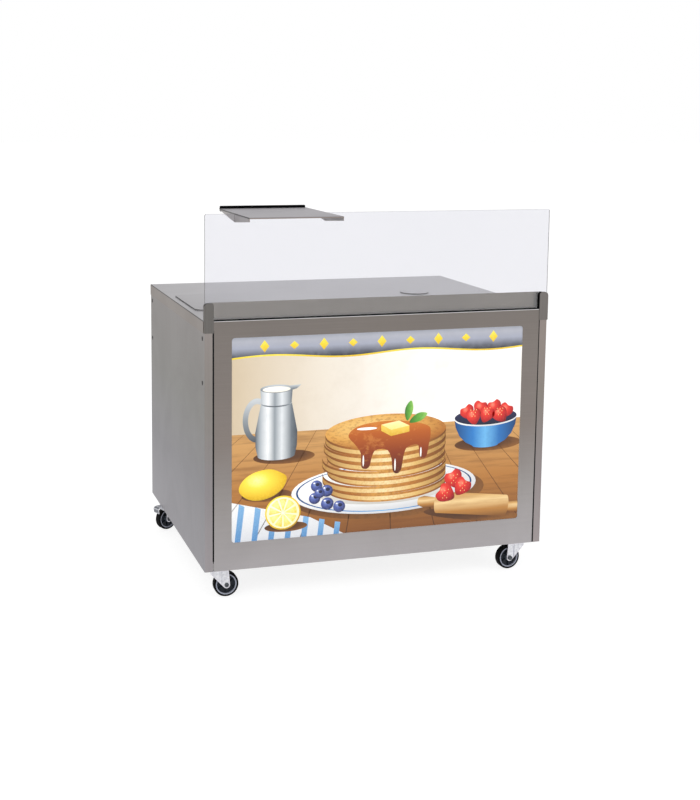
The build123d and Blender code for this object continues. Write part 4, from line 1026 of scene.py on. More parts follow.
@dataclass
class StillLife:
    """The sign's print: a generic breakfast scene in low relief of ink, a level for each overlap.

    Places are in millimetres from the middle of the window's lower edge.
    """

    width: float
    height: float
    face_y: float
    base_z: float
    level_mm: float = 0.1
    margin_mm: float = 0.4
    horizon: float = 343.0
    middle: float = 20.0
    cakes: int = 7
    cake_h: float = 25.0
    cake_rx: float = 205.0
    cake_ry: float = 56.0
    plate_z: float = 140.0
    plate_rise: float = 10.0
    motifs: dict[str, list[tuple[Outline, Printed, int]]] = field(default_factory=dict)

    def lay(self, motif: str, level: int, outline: Outline, finish: Printed) -> None:
        """Put one shape on a level, cut to the window.

        Args:
            motif: Name of the piece that the shape belongs to.
            level: How many layers of ink it stands on the panel.
            outline: The shape.
            finish: Its ink.
        """
        half = self.width / 2 - self.margin_mm
        kept = clipped(outline, (-half, self.margin_mm), (half, self.height - self.margin_mm))
        if len(kept) > 2:
            self.motifs.setdefault(motif, []).append((kept, finish, level))

    def build(self) -> None:
        """Draw every motif and make one piece of each."""
        for draw in (
            self.draw_room, self.draw_banner, self.draw_cloth, self.draw_jug, self.draw_bowl,
            self.draw_plate, self.draw_stack, self.draw_syrup, self.draw_topping, self.draw_fruit,
            self.draw_lemons, self.draw_pin,
        ):
            draw()
        for motif, shapes in self.motifs.items():
            self.make_piece(motif, shapes)

    def make_piece(self, motif: str, shapes: list[tuple[Outline, Printed, int]]) -> None:
        """Turn one motif's shapes into prisms with coordinates of their own from 0 to 1.

        Args:
            motif: Name of the piece.
            shapes: Outlines with their inks and levels.
        """
        shape = bmesh.new()
        uv = shape.loops.layers.uv.new("print")
        finishes = list(dict.fromkeys(finish for _, finish, _ in shapes))
        face = basis(Vector((0.0, self.face_y, self.base_z)), X_AXIS, Z_AXIS)
        for outline, finish, level in shapes:
            low = Vector(map(min, zip(*outline)))
            size = Vector(map(max, zip(*outline))) - low
            for side in prism(shape, outline, 0.0, level * self.level_mm, face):
                side.material_index = finishes.index(finish)
                for loop in side.loops:
                    spot = Vector((loop.vert.co.x, loop.vert.co.z - self.base_z)) / MM - low
                    loop[uv].uv = (spot.x / size.x, spot.y / size.y)
        add_piece(motif, shape, "cabinet", "sign_print", *finishes)

    def draw_room(self) -> None:
        """Pale wall, sunlit patch and a wooden table with planks."""
        half, edge = self.width / 2, self.horizon
        self.lay("sign_wall", 1, box_outline(-half, edge, half, self.height), WALL_INK)
        self.lay("sign_wall", 2, [(150, edge), (half, edge), (half, 560), (245, 560)], SUN_INK)
        self.lay("sign_table", 1, box_outline(-half, 0, half, edge), TABLE_INK)
        for k in range(-7, 8):
            near, far = 152.0 * k + 40.0, 78.0 * k + 20.0
            gap = [(near - 1.6, 0), (near + 1.6, 0), (far + 0.8, edge), (far - 0.8, edge)]
            self.lay("sign_table", 2, gap, PLANK_INK)

    def draw_banner(self) -> None:
        """Grey header with a waved lower edge, a gold line under it and gold lozenges."""
        lay = partial(self.lay, "sign_banner")
        half, steps, row, wide, line = self.width / 2, 64, 617.0, 15.0, 5.0
        xs = [half * (2 * i / steps - 1) for i in range(steps + 1)]
        wave = [(x, 584.0 + 7.0 * math.sin(2 * math.pi * x / half)) for x in xs]
        lay(3, wave + [(half, self.height), (-half, self.height)], BANNER_INK)
        lay(4, moved(wave, 0.0, -line) + wave[::-1], GOLD_INK)
        for i in range(-4, 5):
            cx, tall = 96.0 * i, 13.0 if i % 2 else 19.0
            lay(4, [(cx, row - tall), (cx + wide, row), (cx, row + tall), (cx - wide, row)], GOLD_INK)

    def draw_cloth(self) -> None:
        """A striped cloth over the table's near left corner."""
        lay = partial(self.lay, "sign_cloth")
        left, tall, stripe = -488, 128.0, 18
        lay(2, [(left, 0), (-120, 0), (-232, 62), (left, tall)], CLOTH_INK)
        for k in range(7):
            x = -478 + 54 * k
            top = min(125.0 - 0.25 * (x - left), tall)
            lean = 0.11 * top
            lay(3, [(x, 0), (x + stripe, 0), (x + stripe + lean, top * 0.92), (x + lean, top)], STRIPE_INK)

    def draw_jug(self) -> None:
        """A steel jug of milk at the back left."""
        lay = partial(self.lay, "sign_jug")
        cx, foot, mouth = -345.0, 270.0, 482.0
        lay(2, ellipse(cx + 26, foot - 6, 100, 22), SHADOW_INK)
        grip = ellipse(cx - 62, 385, 46, 70, 70, 290) + ellipse(cx - 62, 385, 29, 52, 290, 70)
        lay(3, grip, STEEL_DARK)
        lay(3, moved([(40, -8), (66, -2), (80, 10), (44, 8)], cx, mouth), STEEL_DARK)
        belly = [(foot, 60), (300, 67), (345, 68), (395, 58), (440, 49), (mouth, 52)]
        lay(4, vessel_outline(cx, belly, 15, -13), STEEL_INK)
        lay(5, ellipse(cx, mouth, 52, 13), STEEL_DARK)
        lay(6, ellipse(cx, mouth - 2, 45, 9.5), MILK_INK)
        lay(5, band_outline(cx, 436, 440, 50, 12), STEEL_DARK)

    def draw_bowl(self) -> None:
        """A blue bowl of strawberries at the back right."""
        lay = partial(self.lay, "sign_bowl")
        cx, rim = 365.0, 352.0
        lay(2, ellipse(cx + 10, 262, 118, 24), SHADOW_INK)
        lay(3, ellipse(cx, rim, 110, 27), NAVY_INK)
        for x, z, turn in ((-66, 372, 30), (-20, 384, -15), (30, 384, 20), (72, 371, -30)):
            lay(4, self.strawberry(cx + x, z, 27, turn), RED_INK)
        for x, z, turn in ((-44, 358, 10), (4, 362, -25), (50, 358, 35)):
            lay(5, self.strawberry(cx + x, z, 29, turn), RED_INK)
            self.draw_seeds("sign_bowl", 6, cx + x, z + 10, 6.5)
        side = [(258, 46), (270, 70), (292, 92), (322, 106), (rim, 110)]
        lay(7, vessel_outline(cx, side, 9, 27), BLUE_INK)
        lay(8, band_outline(cx, rim - 5, rim, 110, 27), CHINA_INK)

    @staticmethod
    def strawberry(cx: float, cy: float, size: float, turn: float) -> Outline:
        """Draw a heart-shaped berry.

        Args:
            cx: Centre across.
            cy: Centre upwards.
            size: About half its width.
            turn: How far it leans, in degrees.

        Returns:
            Its outline.
        """
        right = [(0.62, -0.55), (0.92, 0.15), (0.6, 0.72)]
        left = [(-x, y) for x, y in reversed(right)]
        heart = [(0, -1.1), *right, (0, 0.6), *left]
        return turned(smooth_loop([(cx + size * x, cy + size * y) for x, y in heart], 4), cx, cy, turn)

    def draw_seeds(self, motif: str, level: int, cx: float, cy: float, step: float) -> None:
        """Small pale seeds round a berry's middle, a step apart."""
        for i, j in ((-1, 0), (1, 0), (0, 1), (0, -1), (-1.5, 1.3), (1.5, 1.3), (-0.8, -1.9), (0.8, -1.9)):
            self.lay(motif, level, ellipse(cx + i * step, cy + j * step, 1.1, 1.9), SEED_INK)

    def draw_plate(self) -> None:
        """A white plate with a blue line, and its shadow on the table."""
        for level, dx, dz, rx, rz, finish in (
            (2, 14, -18, 330, 84, SHADOW_INK), (3, 0, 0, 315, 84, CHINA_INK), (4, 0, 1, 300, 78, BLUE_INK),
            (5, 0, 1.5, 294, 75.5, CHINA_INK), (6, 0, 4, 242, 57, WELL_INK),
        ):
            self.lay("sign_plate", level, ellipse(self.middle + dx, self.plate_z + dz, rx, rz), finish)

    def draw_stack(self) -> None:
        """Round cakes on each other, with brown crusts and a pale crumb between."""
        lay = partial(self.lay, "sign_cakes")
        shifts = (4, -3, 5, -5, 2, -2, 0)
        swells = (0, 5, -3, 4, -4, 2, 0)
        base = self.plate_z + self.plate_rise
        for i in range(self.cakes):
            cx, rx = self.middle + shifts[i], self.cake_rx + swells[i]
            low = base + i * self.cake_h
            cuts = [low + share * self.cake_h for share in (0.0, 0.22, 0.72, 1.0)]
            for start, end, finish in zip(cuts, cuts[1:], (CRUST_INK, CRUMB_INK, CRUST_INK)):
                lay(7 + i % 2, band_outline(cx, start, end, rx, self.cake_ry), finish)
        lay(9, ellipse(self.middle, self.stack_top(), self.cake_rx, self.cake_ry), CAKE_INK)

    def stack_top(self) -> float:
        """Height of the uppermost cake's middle."""
        return self.plate_z + self.plate_rise + self.cakes * self.cake_h

    def draw_syrup(self) -> None:
        """Syrup over the top, with three runs down the front and a glint on each."""
        lay = partial(self.lay, "sign_syrup")
        runs = [
            (-128, -7), (-96, 21), (-20, 33), (70, 29), (140, 11), (152, -13), (146, -55), (138, -93),
            (124, -99), (114, -85), (108, -51), (72, -57), (60, -85), (52, -129), (38, -141), (24, -131),
            (18, -89), (2, -61), (-34, -59), (-48, -79), (-56, -111), (-70, -119), (-84, -109), (-86, -67),
            (-104, -39),
        ]
        cx, top = self.middle, self.stack_top()
        lay(10, smooth_loop(moved(runs, cx, top), 5), SYRUP_INK)
        glints = ((-77, -92, 2.6, 18), (31, -112, 2.6, 20), (119, -76, 2.6, 16), (-66, 12, 34, 4.5))
        for x, z, rx, rz in glints:
            lay(11, ellipse(cx + x, top + z, rx, rz), GLINT_INK)

    def draw_topping(self) -> None:
        """A pat of butter and two leaves of mint on top."""
        cx, top = self.middle + 12.0, self.stack_top()
        for pat, finish in (
            ([(-30, 22), (4, 3), (66, 14), (30, 32)], BUTTER_INK),
            ([(-30, 22), (-30, 2), (4, -17), (4, 3)], BUTTER_SHADE),
            ([(4, 3), (4, -17), (66, -6), (66, 14)], BUTTER_SHADE),
        ):
            self.lay("sign_butter", 11, moved(pat, cx, top), finish)
        leaf = smooth_loop([(0, 0), (18, 13), (44, 16), (66, 4), (44, -9), (18, -8)], 5)
        for level, x, z, turn in ((13, cx + 66, top + 24, 20), (12, cx + 58, top + 30, 75)):
            self.lay("sign_mint", level, turned(moved(leaf, x, z), x, z, turn), LEAF_INK)

    def draw_fruit(self) -> None:
        """Blueberries and strawberries round the plate."""
        lay = partial(self.lay, "sign_berries")
        for level, x, z, r in (
            (9, -232, 22, 19), (10, -198, 4, 20), (9, -238, -18, 19), (10, -196, -38, 21), (9, -156, -50, 20),
            (11, -222, -2, 17),
        ):
            bx, bz = self.middle + x, self.plate_z + z
            lay(level, ellipse(bx, bz, r, r * 0.96), BERRY_INK)
            lay(level + 1, ellipse(bx + 3, bz + 5, r * 0.36, r * 0.3), NAVY_INK)
            lay(level + 2, ellipse(bx - r * 0.42, bz + r * 0.5, r * 0.16, r * 0.12), GLINT_INK)
        for level, x, z, size, turn in (
            (9, 236, 14, 34, 25), (10, 268, -14, 33, -35), (10, 206, -34, 35, 60),
        ):
            bx, bz = self.middle + x, self.plate_z + z
            lay(level, self.strawberry(bx, bz, size, turn), RED_INK)
            self.draw_seeds("sign_berries", level + 1, bx, bz, 8.5)

    def draw_lemons(self) -> None:
        """A whole lemon and a cut one at the near left."""
        lay = partial(self.lay, "sign_lemons")
        cx, cz = -388.0, 178.0
        lay(2, ellipse(cx + 14, cz - 34, 82, 20), SHADOW_INK)
        peel = [
            (-78, 2), (-60, 30), (-20, 46), (30, 44), (62, 26), (80, 4), (62, -26), (24, -44), (-24, -45),
            (-60, -28),
        ]
        lay(7, turned(smooth_loop(moved(peel, cx, cz)), cx, cz, 12), LEMON_INK)
        cx, cz, r, wedges = -322.0, 84.0, 58.0, 9
        lay(6, ellipse(cx + 10, cz - 46, 70, 16), SHADOW_INK)
        lay(8, ellipse(cx, cz, r, r * 0.95), LEMON_INK)
        lay(9, ellipse(cx, cz, r * 0.92, r * 0.87), PITH_INK)
        wedge = [(cx, cz + r * 0.07)] + ellipse(cx, cz, r * 0.82, r * 0.78, 75.0, 105.0)
        for k in range(wedges):
            lay(10, turned(wedge, cx, cz, 360.0 * k / wedges), PULP_INK)

    def draw_pin(self) -> None:
        """A wooden rolling pin across the near right corner."""
        cx, cz, turn, reach = 322.0, 62.0, -7.0, 122.0
        half_grip = [(118, -13), (140, -17), (172, -19), (190, -12)]
        grip = half_grip + [(193, 0)] + [(x, -z) for x, z in reversed(half_grip)]
        barrel = ellipse(cx + reach, cz, 11, 36, -90, 90) + ellipse(cx - reach, cz, 11, 36, 90, 270)
        for level, outline, finish in (
            (7, ellipse(cx + 10, cz - 34, 176, 20), SHADOW_INK),
            (8, [(cx - x, cz + z) for x, z in grip], PIN_INK),
            (8, [(cx + x, cz + z) for x, z in grip], PIN_INK),
            (9, barrel, PIN_INK),
        ):
            self.lay("sign_pin", level, turned(outline, cx, cz, turn), finish)


@dataclass
class Stage:
    """Floor, plain light and the camera at the photograph's angle."""

    floor_half: float = 60.0
    focal_px: float = 1302.76
    centre_px: tuple[float, float] = (291.2, 285.99)
    yaw: float = 16.48
    pitch: float = 7.52
    roll: float = 0.43
    stand_mm: Triple = (-1426.3, -4168.1, 1510.4)
    sensor_mm: float = 36.0
    sight_m: float = 200.0
    sky_level: float = 0.62
    floor_own: float = 0.82
    floor_share: Triple = (0.28, 0.28, 0.28)
    aim: Triple = (0.0, 0.0, 0.6)
    lamps: tuple[tuple[str, Triple, float, float], ...] = (
        ("key", (-3.0, -4.2, 4.0), 3.2, 110.0),
        ("fill", (3.6, -3.0, 2.6), 3.0, 40.0),
        ("back", (0.6, 4.2, 3.6), 3.2, 45.0),
    )

    def build(self) -> None:
        """Make the whole stage."""
        bpy.context.scene.view_settings.view_transform = "Standard"
        self.make_floor()
        self.make_world()
        for lamp in self.lamps:
            self.make_lamp(*lamp)
        self.make_camera()

    @staticmethod
    def seen(graph: Graph) -> Socket:
        """Tell what the eye sees from what only lights the cart.

        Args:
            graph: The graph of the floor or the world.

        Returns:
            One for rays from the camera, off metal or through glass, else zero.
        """
        path = graph.node("ShaderNodeLightPath").outputs
        seen = graph.math("MAXIMUM", path["Is Camera Ray"], path["Is Glossy Ray"])
        return graph.math("MAXIMUM", seen, path["Is Transmission Ray"])

    def make_floor(self) -> None:
        """A plain pale floor, white to the eye, that keeps the cart's shadow."""
        shape = bmesh.new()
        bmesh.ops.create_grid(shape, x_segments=1, y_segments=1, size=self.floor_half)
        floor = bpy.data.objects.new("floor", mesh_from("floor", shape))
        bpy.context.scene.collection.objects.link(floor)
        material = PALE_FLOOR.make()
        graph = Graph(material.node_tree)
        shader = material.node_tree.nodes["Principled BSDF"].inputs
        seen = self.seen(graph)
        own = shader["Base Color"].links[0].from_socket
        graph.feed(shader["Base Color"], graph.mix(seen, own, self.floor_share))
        shader["Emission Color"].default_value = (1.0, 1.0, 1.0, 1.0)
        graph.feed(shader["Emission Strength"], graph.scaled(seen, self.floor_own))
        floor.data.materials.append(material)

    def make_world(self) -> None:
        """White to the eye, in metal and in glass, and a softer light on the rest."""
        world = bpy.data.worlds.new("studio")
        world.use_nodes = True
        bpy.context.scene.world = world
        graph = Graph(world.node_tree)
        sky = world.node_tree.nodes["Background"].inputs
        sky["Color"].default_value = (1.0, 1.0, 1.0, 1.0)
        graph.feed(sky["Strength"], graph.span(self.seen(graph), 0.0, 1.0, self.sky_level, 1.0))

    def make_lamp(self, name: str, place: Triple, size: float, power: float) -> None:
        """A large soft lamp that looks at the cart's middle and leaves no glare on metal.

        Args:
            name: Name of the lamp.
            place: Where it hangs, in metres.
            size: Side of its square, in metres.
            power: Its power, in watts.
        """
        light = bpy.data.lights.new(name, "AREA")
        light.size = size
        light.energy = power
        lamp = bpy.data.objects.new(name, light)
        lamp.location = place
        lamp.rotation_euler = (Vector(self.aim) - Vector(place)).to_track_quat("-Z", "Y").to_euler()
        lamp.visible_glossy = False
        bpy.context.scene.collection.objects.link(lamp)

    def make_camera(self) -> None:
        """The photograph's viewpoint, with half of its lens shift, so that other views hold the cart too."""
        data = bpy.data.cameras.new("camera")
        data.sensor_width = self.sensor_mm
        data.lens = self.focal_px / IMAGE_H * self.sensor_mm
        data.shift_x = (IMAGE_W / 2 - self.centre_px[0]) / IMAGE_H
        data.shift_y = (self.centre_px[1] - IMAGE_H / 2) / IMAGE_H
        data.clip_end = self.sight_m
        yaw, pitch, roll = (math.radians(a) for a in (self.yaw, self.pitch, self.roll))
        ahead = Vector((math.sin(yaw) * math.cos(pitch), math.cos(yaw) * math.cos(pitch), -math.sin(pitch)))
        level = Vector((math.cos(yaw), -math.sin(yaw), 0.0))
        upright = level.cross(ahead)
        right = math.cos(roll) * level + math.sin(roll) * upright
        up = math.cos(roll) * upright - math.sin(roll) * level
        camera = bpy.data.objects.new("camera", data)
        turn = Matrix((right, up, -ahead)).transposed().to_4x4()
        camera.matrix_world = Matrix.Translation(Vector(self.stand_mm) * MM) @ turn
        bpy.context.scene.collection.objects.link(camera)
        bpy.context.scene.camera = camera


@dataclass
class Cabinet:
    """Folded sheet body, rails, runners and rivets."""

    seam: float = 3.0
    sheet: float = 1.5
    # Size of the black strips of painted shadow behind the front's seams.
    black_strip_wide: float = 9.0
    shadow_strip_thick: float = 1.2
    shadow_strip_foot: float = 1.0
    shadow_strip_drop: float = 30.0
    bead: float = 2.4
    bead_taper: float = 0.7
    bead_sunk: float = 0.5
    bead_foot: float = 6.0
    left_cap: tuple[float, float] = (4.8, 4.8)
    right_cap: tuple[float, float] = (4.8, 2.0)
    cap_foot: float = 1.0
    cap_proud: float = 0.5
    cap_play: float = 0.05
    rivet_r: float = 4.5
    head_h: float = 1.6
    # Size of the dark ring of painted shadow under each rivet head.
    shadow_ring_r: float = 7.0
    shadow_ring_lap: float = 0.2
    shadow_ring_rim: float = 0.5
    shadow_ring_crown: float = 0.7
    core_r: float = 1.7
    core_profile: tuple[tuple[float, float], ...] = (
        (0.5, -0.4), (1.0, -0.4), (1.0, 0.15), (0.8, 0.35), (0.5, 0.2),
    )

    def dress(self) -> None:
        """Finish every sheet by the way it faces."""
        dress(FRONT_SHEET, "front_panel", "front_ledge")
        dress(LEFT_SIDE, "left_side")
        dress(RIGHT_SIDE, "right_side")
        dress(TOP_SHEET, "worktop")
        dress(INNER_SHEET, "base_panel", "cross_rails", "inner_shelf", "pan_frame")
        dress(INNER_SHEET, "upper_runners", "lower_runners")
        dress(PAN_SHEET, "topping_pan", "cable_collar")
        dress(LID_SHEET, "pan_lid", "collar_cap")
        dress(RIVET_SHADE_STEEL, "side_rivets")

    def build(self) -> None:
        """Add the black strips of painted shadow in the seams, and the dark rings of painted shadow and the
        drawn cores of the rivets.
        """
        self.build_seam_shadows()
        self.build_rivets()

    def build_seam_shadows(self) -> None:
        """Black strips of painted shadow behind both seams of the front, each with a bead between the sheets
        and a cap.
        """
        low, high = box_mm("front_panel")
        base = box_mm("base_panel")[1].z
        head = high.z - self.shadow_strip_drop
        inside, face = low.y + self.sheet, low.y + self.bead_sunk
        half, bead, tip = self.black_strip_wide / 2, self.bead / 2, self.bead / 2 * self.bead_taper
        cap_back = self.cap_play - low.y
        shape = bmesh.new()
        for side, foot, (low_wide, top_wide) in (
            (-1, base, self.left_cap), (1, low.z + self.cap_foot, self.right_cap),
        ):
            x = side * (high.x + self.seam / 2)
            ends = ((-low_wide, foot), (low_wide, foot), (top_wide, head), (-top_wide, head))
            cap = [(x + wide / 2, z) for wide, z in ends]
            prism(shape, cap, cap_back, cap_back + self.cap_proud, UPRIGHT)
            section = [
                (x - half, inside + self.shadow_strip_thick), (x - half, inside), (x - bead, inside), (x - tip, face),
                (x + tip, face), (x + bead, inside), (x + half, inside), (x + half, inside + self.shadow_strip_thick),
            ]
            prism(shape, section, base + self.shadow_strip_foot, head, Matrix())
            prism(shape, section[2:6], base - self.bead_foot, base + self.shadow_strip_foot, Matrix())
        add_piece("seam_shadow_strips", shape, "cabinet", "black_rubber", GASKET)

    def build_rivets(self) -> None:
        """A dark ring under each rivet head as a painted shadow of the head, and the small ring that its
        drawn pin leaves in it.
        """
        low, high = box_mm("side_rivets")
        core = [(self.core_r * share, w) for share, w in self.core_profile]
        hole, foot = self.rivet_r - self.shadow_ring_lap, -self.head_h
        shadow_ring = [
            (hole, foot), (self.shadow_ring_r, foot), (self.shadow_ring_r, foot + self.shadow_ring_rim),
            (hole, foot + self.shadow_ring_crown),
        ]
        cores, shadow_rings = bmesh.new(), bmesh.new()
        for side, x in ((-1.0, low.x), (1.0, high.x)):
            for y in (low.y + self.rivet_r, high.y - self.rivet_r):
                for z in (low.z + self.rivet_r, high.z - self.rivet_r):
                    spot = basis(Vector((x, y, z)) * MM, Vector((0.0, side, 0.0)), Z_AXIS)
                    lathe(cores, core, spot, 24)
                    lathe(shadow_rings, shadow_ring, spot, 32)
        add_piece("rivet_cores", cores, "cabinet", "zinc_steel", AXLE_STEEL, smooth=True)
        add_piece("rivet_shadow_rings", shadow_rings, "cabinet", "black_rubber", GASKET)


@dataclass
class Screen:
    """Glass screen, its posts and gaskets, and the plate shelf on it."""

    corner_r: float = 6.0
    edge_t: float = 0.06
    upstand_end: float = 3.0
    black_strip_wide: float = 8.0
    seal_r: float = 2.0
    seal_lap: float = 1.5
    play: float = 0.1
    post_r: float = 8.0
    lip_wide: float = 5.0
    lip_top: float = 1.5
    lip_foot: float = 3.5

    def dress(self) -> None:
        """Finish the glass and what holds it."""
        dress(GLASS, "glass_panel")
        dress(GASKET, "glass_gaskets")
        dress(LEFT_POST, "left_post")
        dress(RIGHT_POST, "right_post")
        dress(SHELF_SHEET, "plate_shelf")
        dress(TRIM, "shelf_edge_trim")

    def build(self) -> None:
        """Add a dark skin of painted shade on the glass's edges, the seals at the posts and the right post's
        lip.
        """
        self.build_edge_shade()
        self.build_end_seals()
        self.build_post_lip()

    def build_edge_shade(self) -> None:
        """A thin dark skin all round the pane's edge, painted shade for the dark look of the cut edge."""
        low, high = box_mm("glass_panel")
        r = self.corner_r
        pane = [(low.x, low.z), (high.x, low.z)]
        pane += ellipse(high.x - r, high.z - r, r, r, 0.0, 90.0)
        pane += ellipse(low.x + r, high.z - r, r, r, 90.0, 180.0)
        shape = bmesh.new()
        framed(shape, shrunk(pane, -self.edge_t), shrunk(pane, self.edge_t), -low.y, -high.y, UPRIGHT)
        add_piece("glass_edge_shade_skin", shape, "glass_screen", "clear_glass", GLASS_EDGE_SHADE)

    def build_end_seals(self) -> None:
        """Rounded black seals that close the gap from the upstand's ends to the posts."""
        low, high = box_mm("right_post")
        ledge = box_mm("front_ledge")[1]
        inner, r = low.x + self.upstand_end, self.seal_r
        front, back = high.y + self.play, ledge.y + self.seal_lap
        shape = bmesh.new()
        for side in (-1, 1):
            ends = [side * (inner + self.play + r), side * (inner + self.black_strip_wide - r)]
            corners = [ellipse(x, y, r, r) for x in ends for y in (front + r, back - r)]
            prism(shape, hull([p for corner in corners for p in corner]), ledge.z, high.z, Matrix())
        add_piece("upstand_seals", shape, "cabinet", "black_rubber", TRIM)

    def build_post_lip(self) -> None:
        """A black lip before the glass, along the right post's inner edge and over its rounded corner."""
        low, high = box_mm("right_post")
        glass = box_mm("glass_panel")[0].y
        foot = box_mm("front_ledge")[1].z + self.lip_foot
        r, wide = self.post_r, self.lip_wide
        cx, cz = low.x + r, high.z - r
        edge = [(low.x - wide, foot), (low.x - self.play, foot)]
        edge += ellipse(cx, cz, r + self.play, r + self.play, 180.0, 90.0)
        edge += ellipse(cx, cz, r + wide, r + self.lip_top, 90.0, 180.0)
        shape = bmesh.new()
        prism(shape, edge, self.play - glass, -low.y - self.play, UPRIGHT)
        add_piece("post_lip", shape, "cabinet", "black_rubber", TRIM)


@dataclass
class LitSign:
    """The lit sign: opal panel, print, and the light box behind."""

    lap: float = 12.0
    dome_r: float = 9.5
    dome_from: float = 7.0
    dome_to: float = 14.0
    ribs: int = 12
    rib_sunk: float = 0.4
    rib_rise: float = 0.5
    rib_foot: float = 0.9
    rib_top: float = 0.5
    cap_len: float = 14.0
    cap_r: float = 13.4
    cap_t: float = 0.4
    cap_sunk: float = 0.3
    cap_from: float = 0.3
    cap_lip: float = 0.1
    cap_bevel: float = 1.0
    rocker_end: float = 3.2
    rocker_dish: float = 0.7
    rocker_h: float = 12.4
    rocker_tilt: float = 10.0
    mark_sunk: float = 0.1
    mark_rise: float = 0.06
    bar_half: tuple[float, float] = (0.4, 1.7)
    ring_r: tuple[float, float] = (1.1, 1.8)

    def dress(self) -> None:
        """Finish the panel and the light box with its fittings."""
        dress(OPAL_SHEET, "sign_panel")
        dress(ENAMEL, "light_box", "lamp_driver")
        dress(LAMP, "lamp_tubes")
        dress(SOCKET, "lamp_holders")
        dress(BLACK_NYLON, "cable_gland", "light_switch")
        dress(ROCKER, "switch_rocker")

    def build(self) -> None:
        """Add the print, the lamps' caps, the gland's grip and the rocker's marks."""
        low, high = (Vector(c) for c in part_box("sign_panel"))
        lap = self.lap * MM
        width, height = (high.x - low.x - 2 * lap) / MM, (high.z - low.z - 2 * lap) / MM
        StillLife(width, height, low.y, low.z + lap).build()
        self.build_caps()
        self.build_grip()
        self.build_marks()

    def build_caps(self) -> None:
        """Metal caps round the ends of both lamps."""
        low, high = (Vector(c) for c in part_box("lamp_tubes"))
        bulb, end = self.cap_r - self.cap_t, self.cap_len
        inside = bulb - self.cap_sunk
        ring = [
            (inside, self.cap_from), (self.cap_r, self.cap_from), (self.cap_r, end - self.cap_bevel),
            (bulb + self.cap_lip, end), (inside, end),
        ]
        shape = bmesh.new()
        for x, inward in ((low.x, 1.0), (high.x, -1.0)):
            for z in (low.z + bulb * MM, high.z - bulb * MM):
                spot = Vector((x, (low.y + high.y) / 2, z))
                lathe(shape, ring, basis(spot, Vector((0.0, inward, 0.0)), Z_AXIS), 48)
        add_piece("lamp_caps", shape, "cabinet", "zinc_steel", CAP_ALLOY)

    def build_grip(self) -> None:
        """Ribs round the gland's dome."""
        low, high = (Vector(c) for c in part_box("cable_gland"))
        spot = Vector(((low.x + high.x) / 2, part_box("light_box")[1][1], (low.z + high.z) / 2))
        place = basis(spot, X_AXIS, -Z_AXIS)
        foot, top = self.dome_r - self.rib_sunk, self.dome_r + self.rib_rise
        rib = [(foot, -self.rib_foot), (top, -self.rib_top), (top, self.rib_top), (foot, self.rib_foot)]
        shape = bmesh.new()
        for k in range(self.ribs):
            prism(shape, turned(rib, 0.0, 0.0, 360.0 * k / self.ribs), self.dome_from, self.dome_to, place)
        add_piece("gland_grip", shape, "cabinet", "black_plastic", BLACK_NYLON)

    def build_marks(self) -> None:
        """A bar and a ring on the two halves of the rocker."""
        pivot = Vector(joint_named("rocker_press")["pos_m"])
        tilt = math.radians(self.rocker_tilt)
        out = Vector((0.0, math.cos(tilt), -math.sin(tilt)))
        up = Vector((0.0, math.sin(tilt), math.cos(tilt)))
        (across, tall), (inner, outer) = self.bar_half, self.ring_r
        shape = bmesh.new()
        for half in (-1, 1):
            slope = (out * self.rocker_dish + up * half * self.rocker_h / 2).normalized()
            rise = out * (self.rocker_end - self.rocker_dish / 2) + up * half * self.rocker_h / 4
            place = basis(pivot + rise * MM, Vector((-half, 0.0, 0.0)), slope)
            if half > 0:
                bar = box_outline(-across, -tall, across, tall)
                prism(shape, bar, -self.mark_sunk, self.mark_rise, place)
            else:
                lathe(shape, box_outline(inner, -self.mark_sunk, outer, self.mark_rise), place, 32)
        add_piece("rocker_marks", shape, "rocker", "white_plastic", MARK_WHITE)


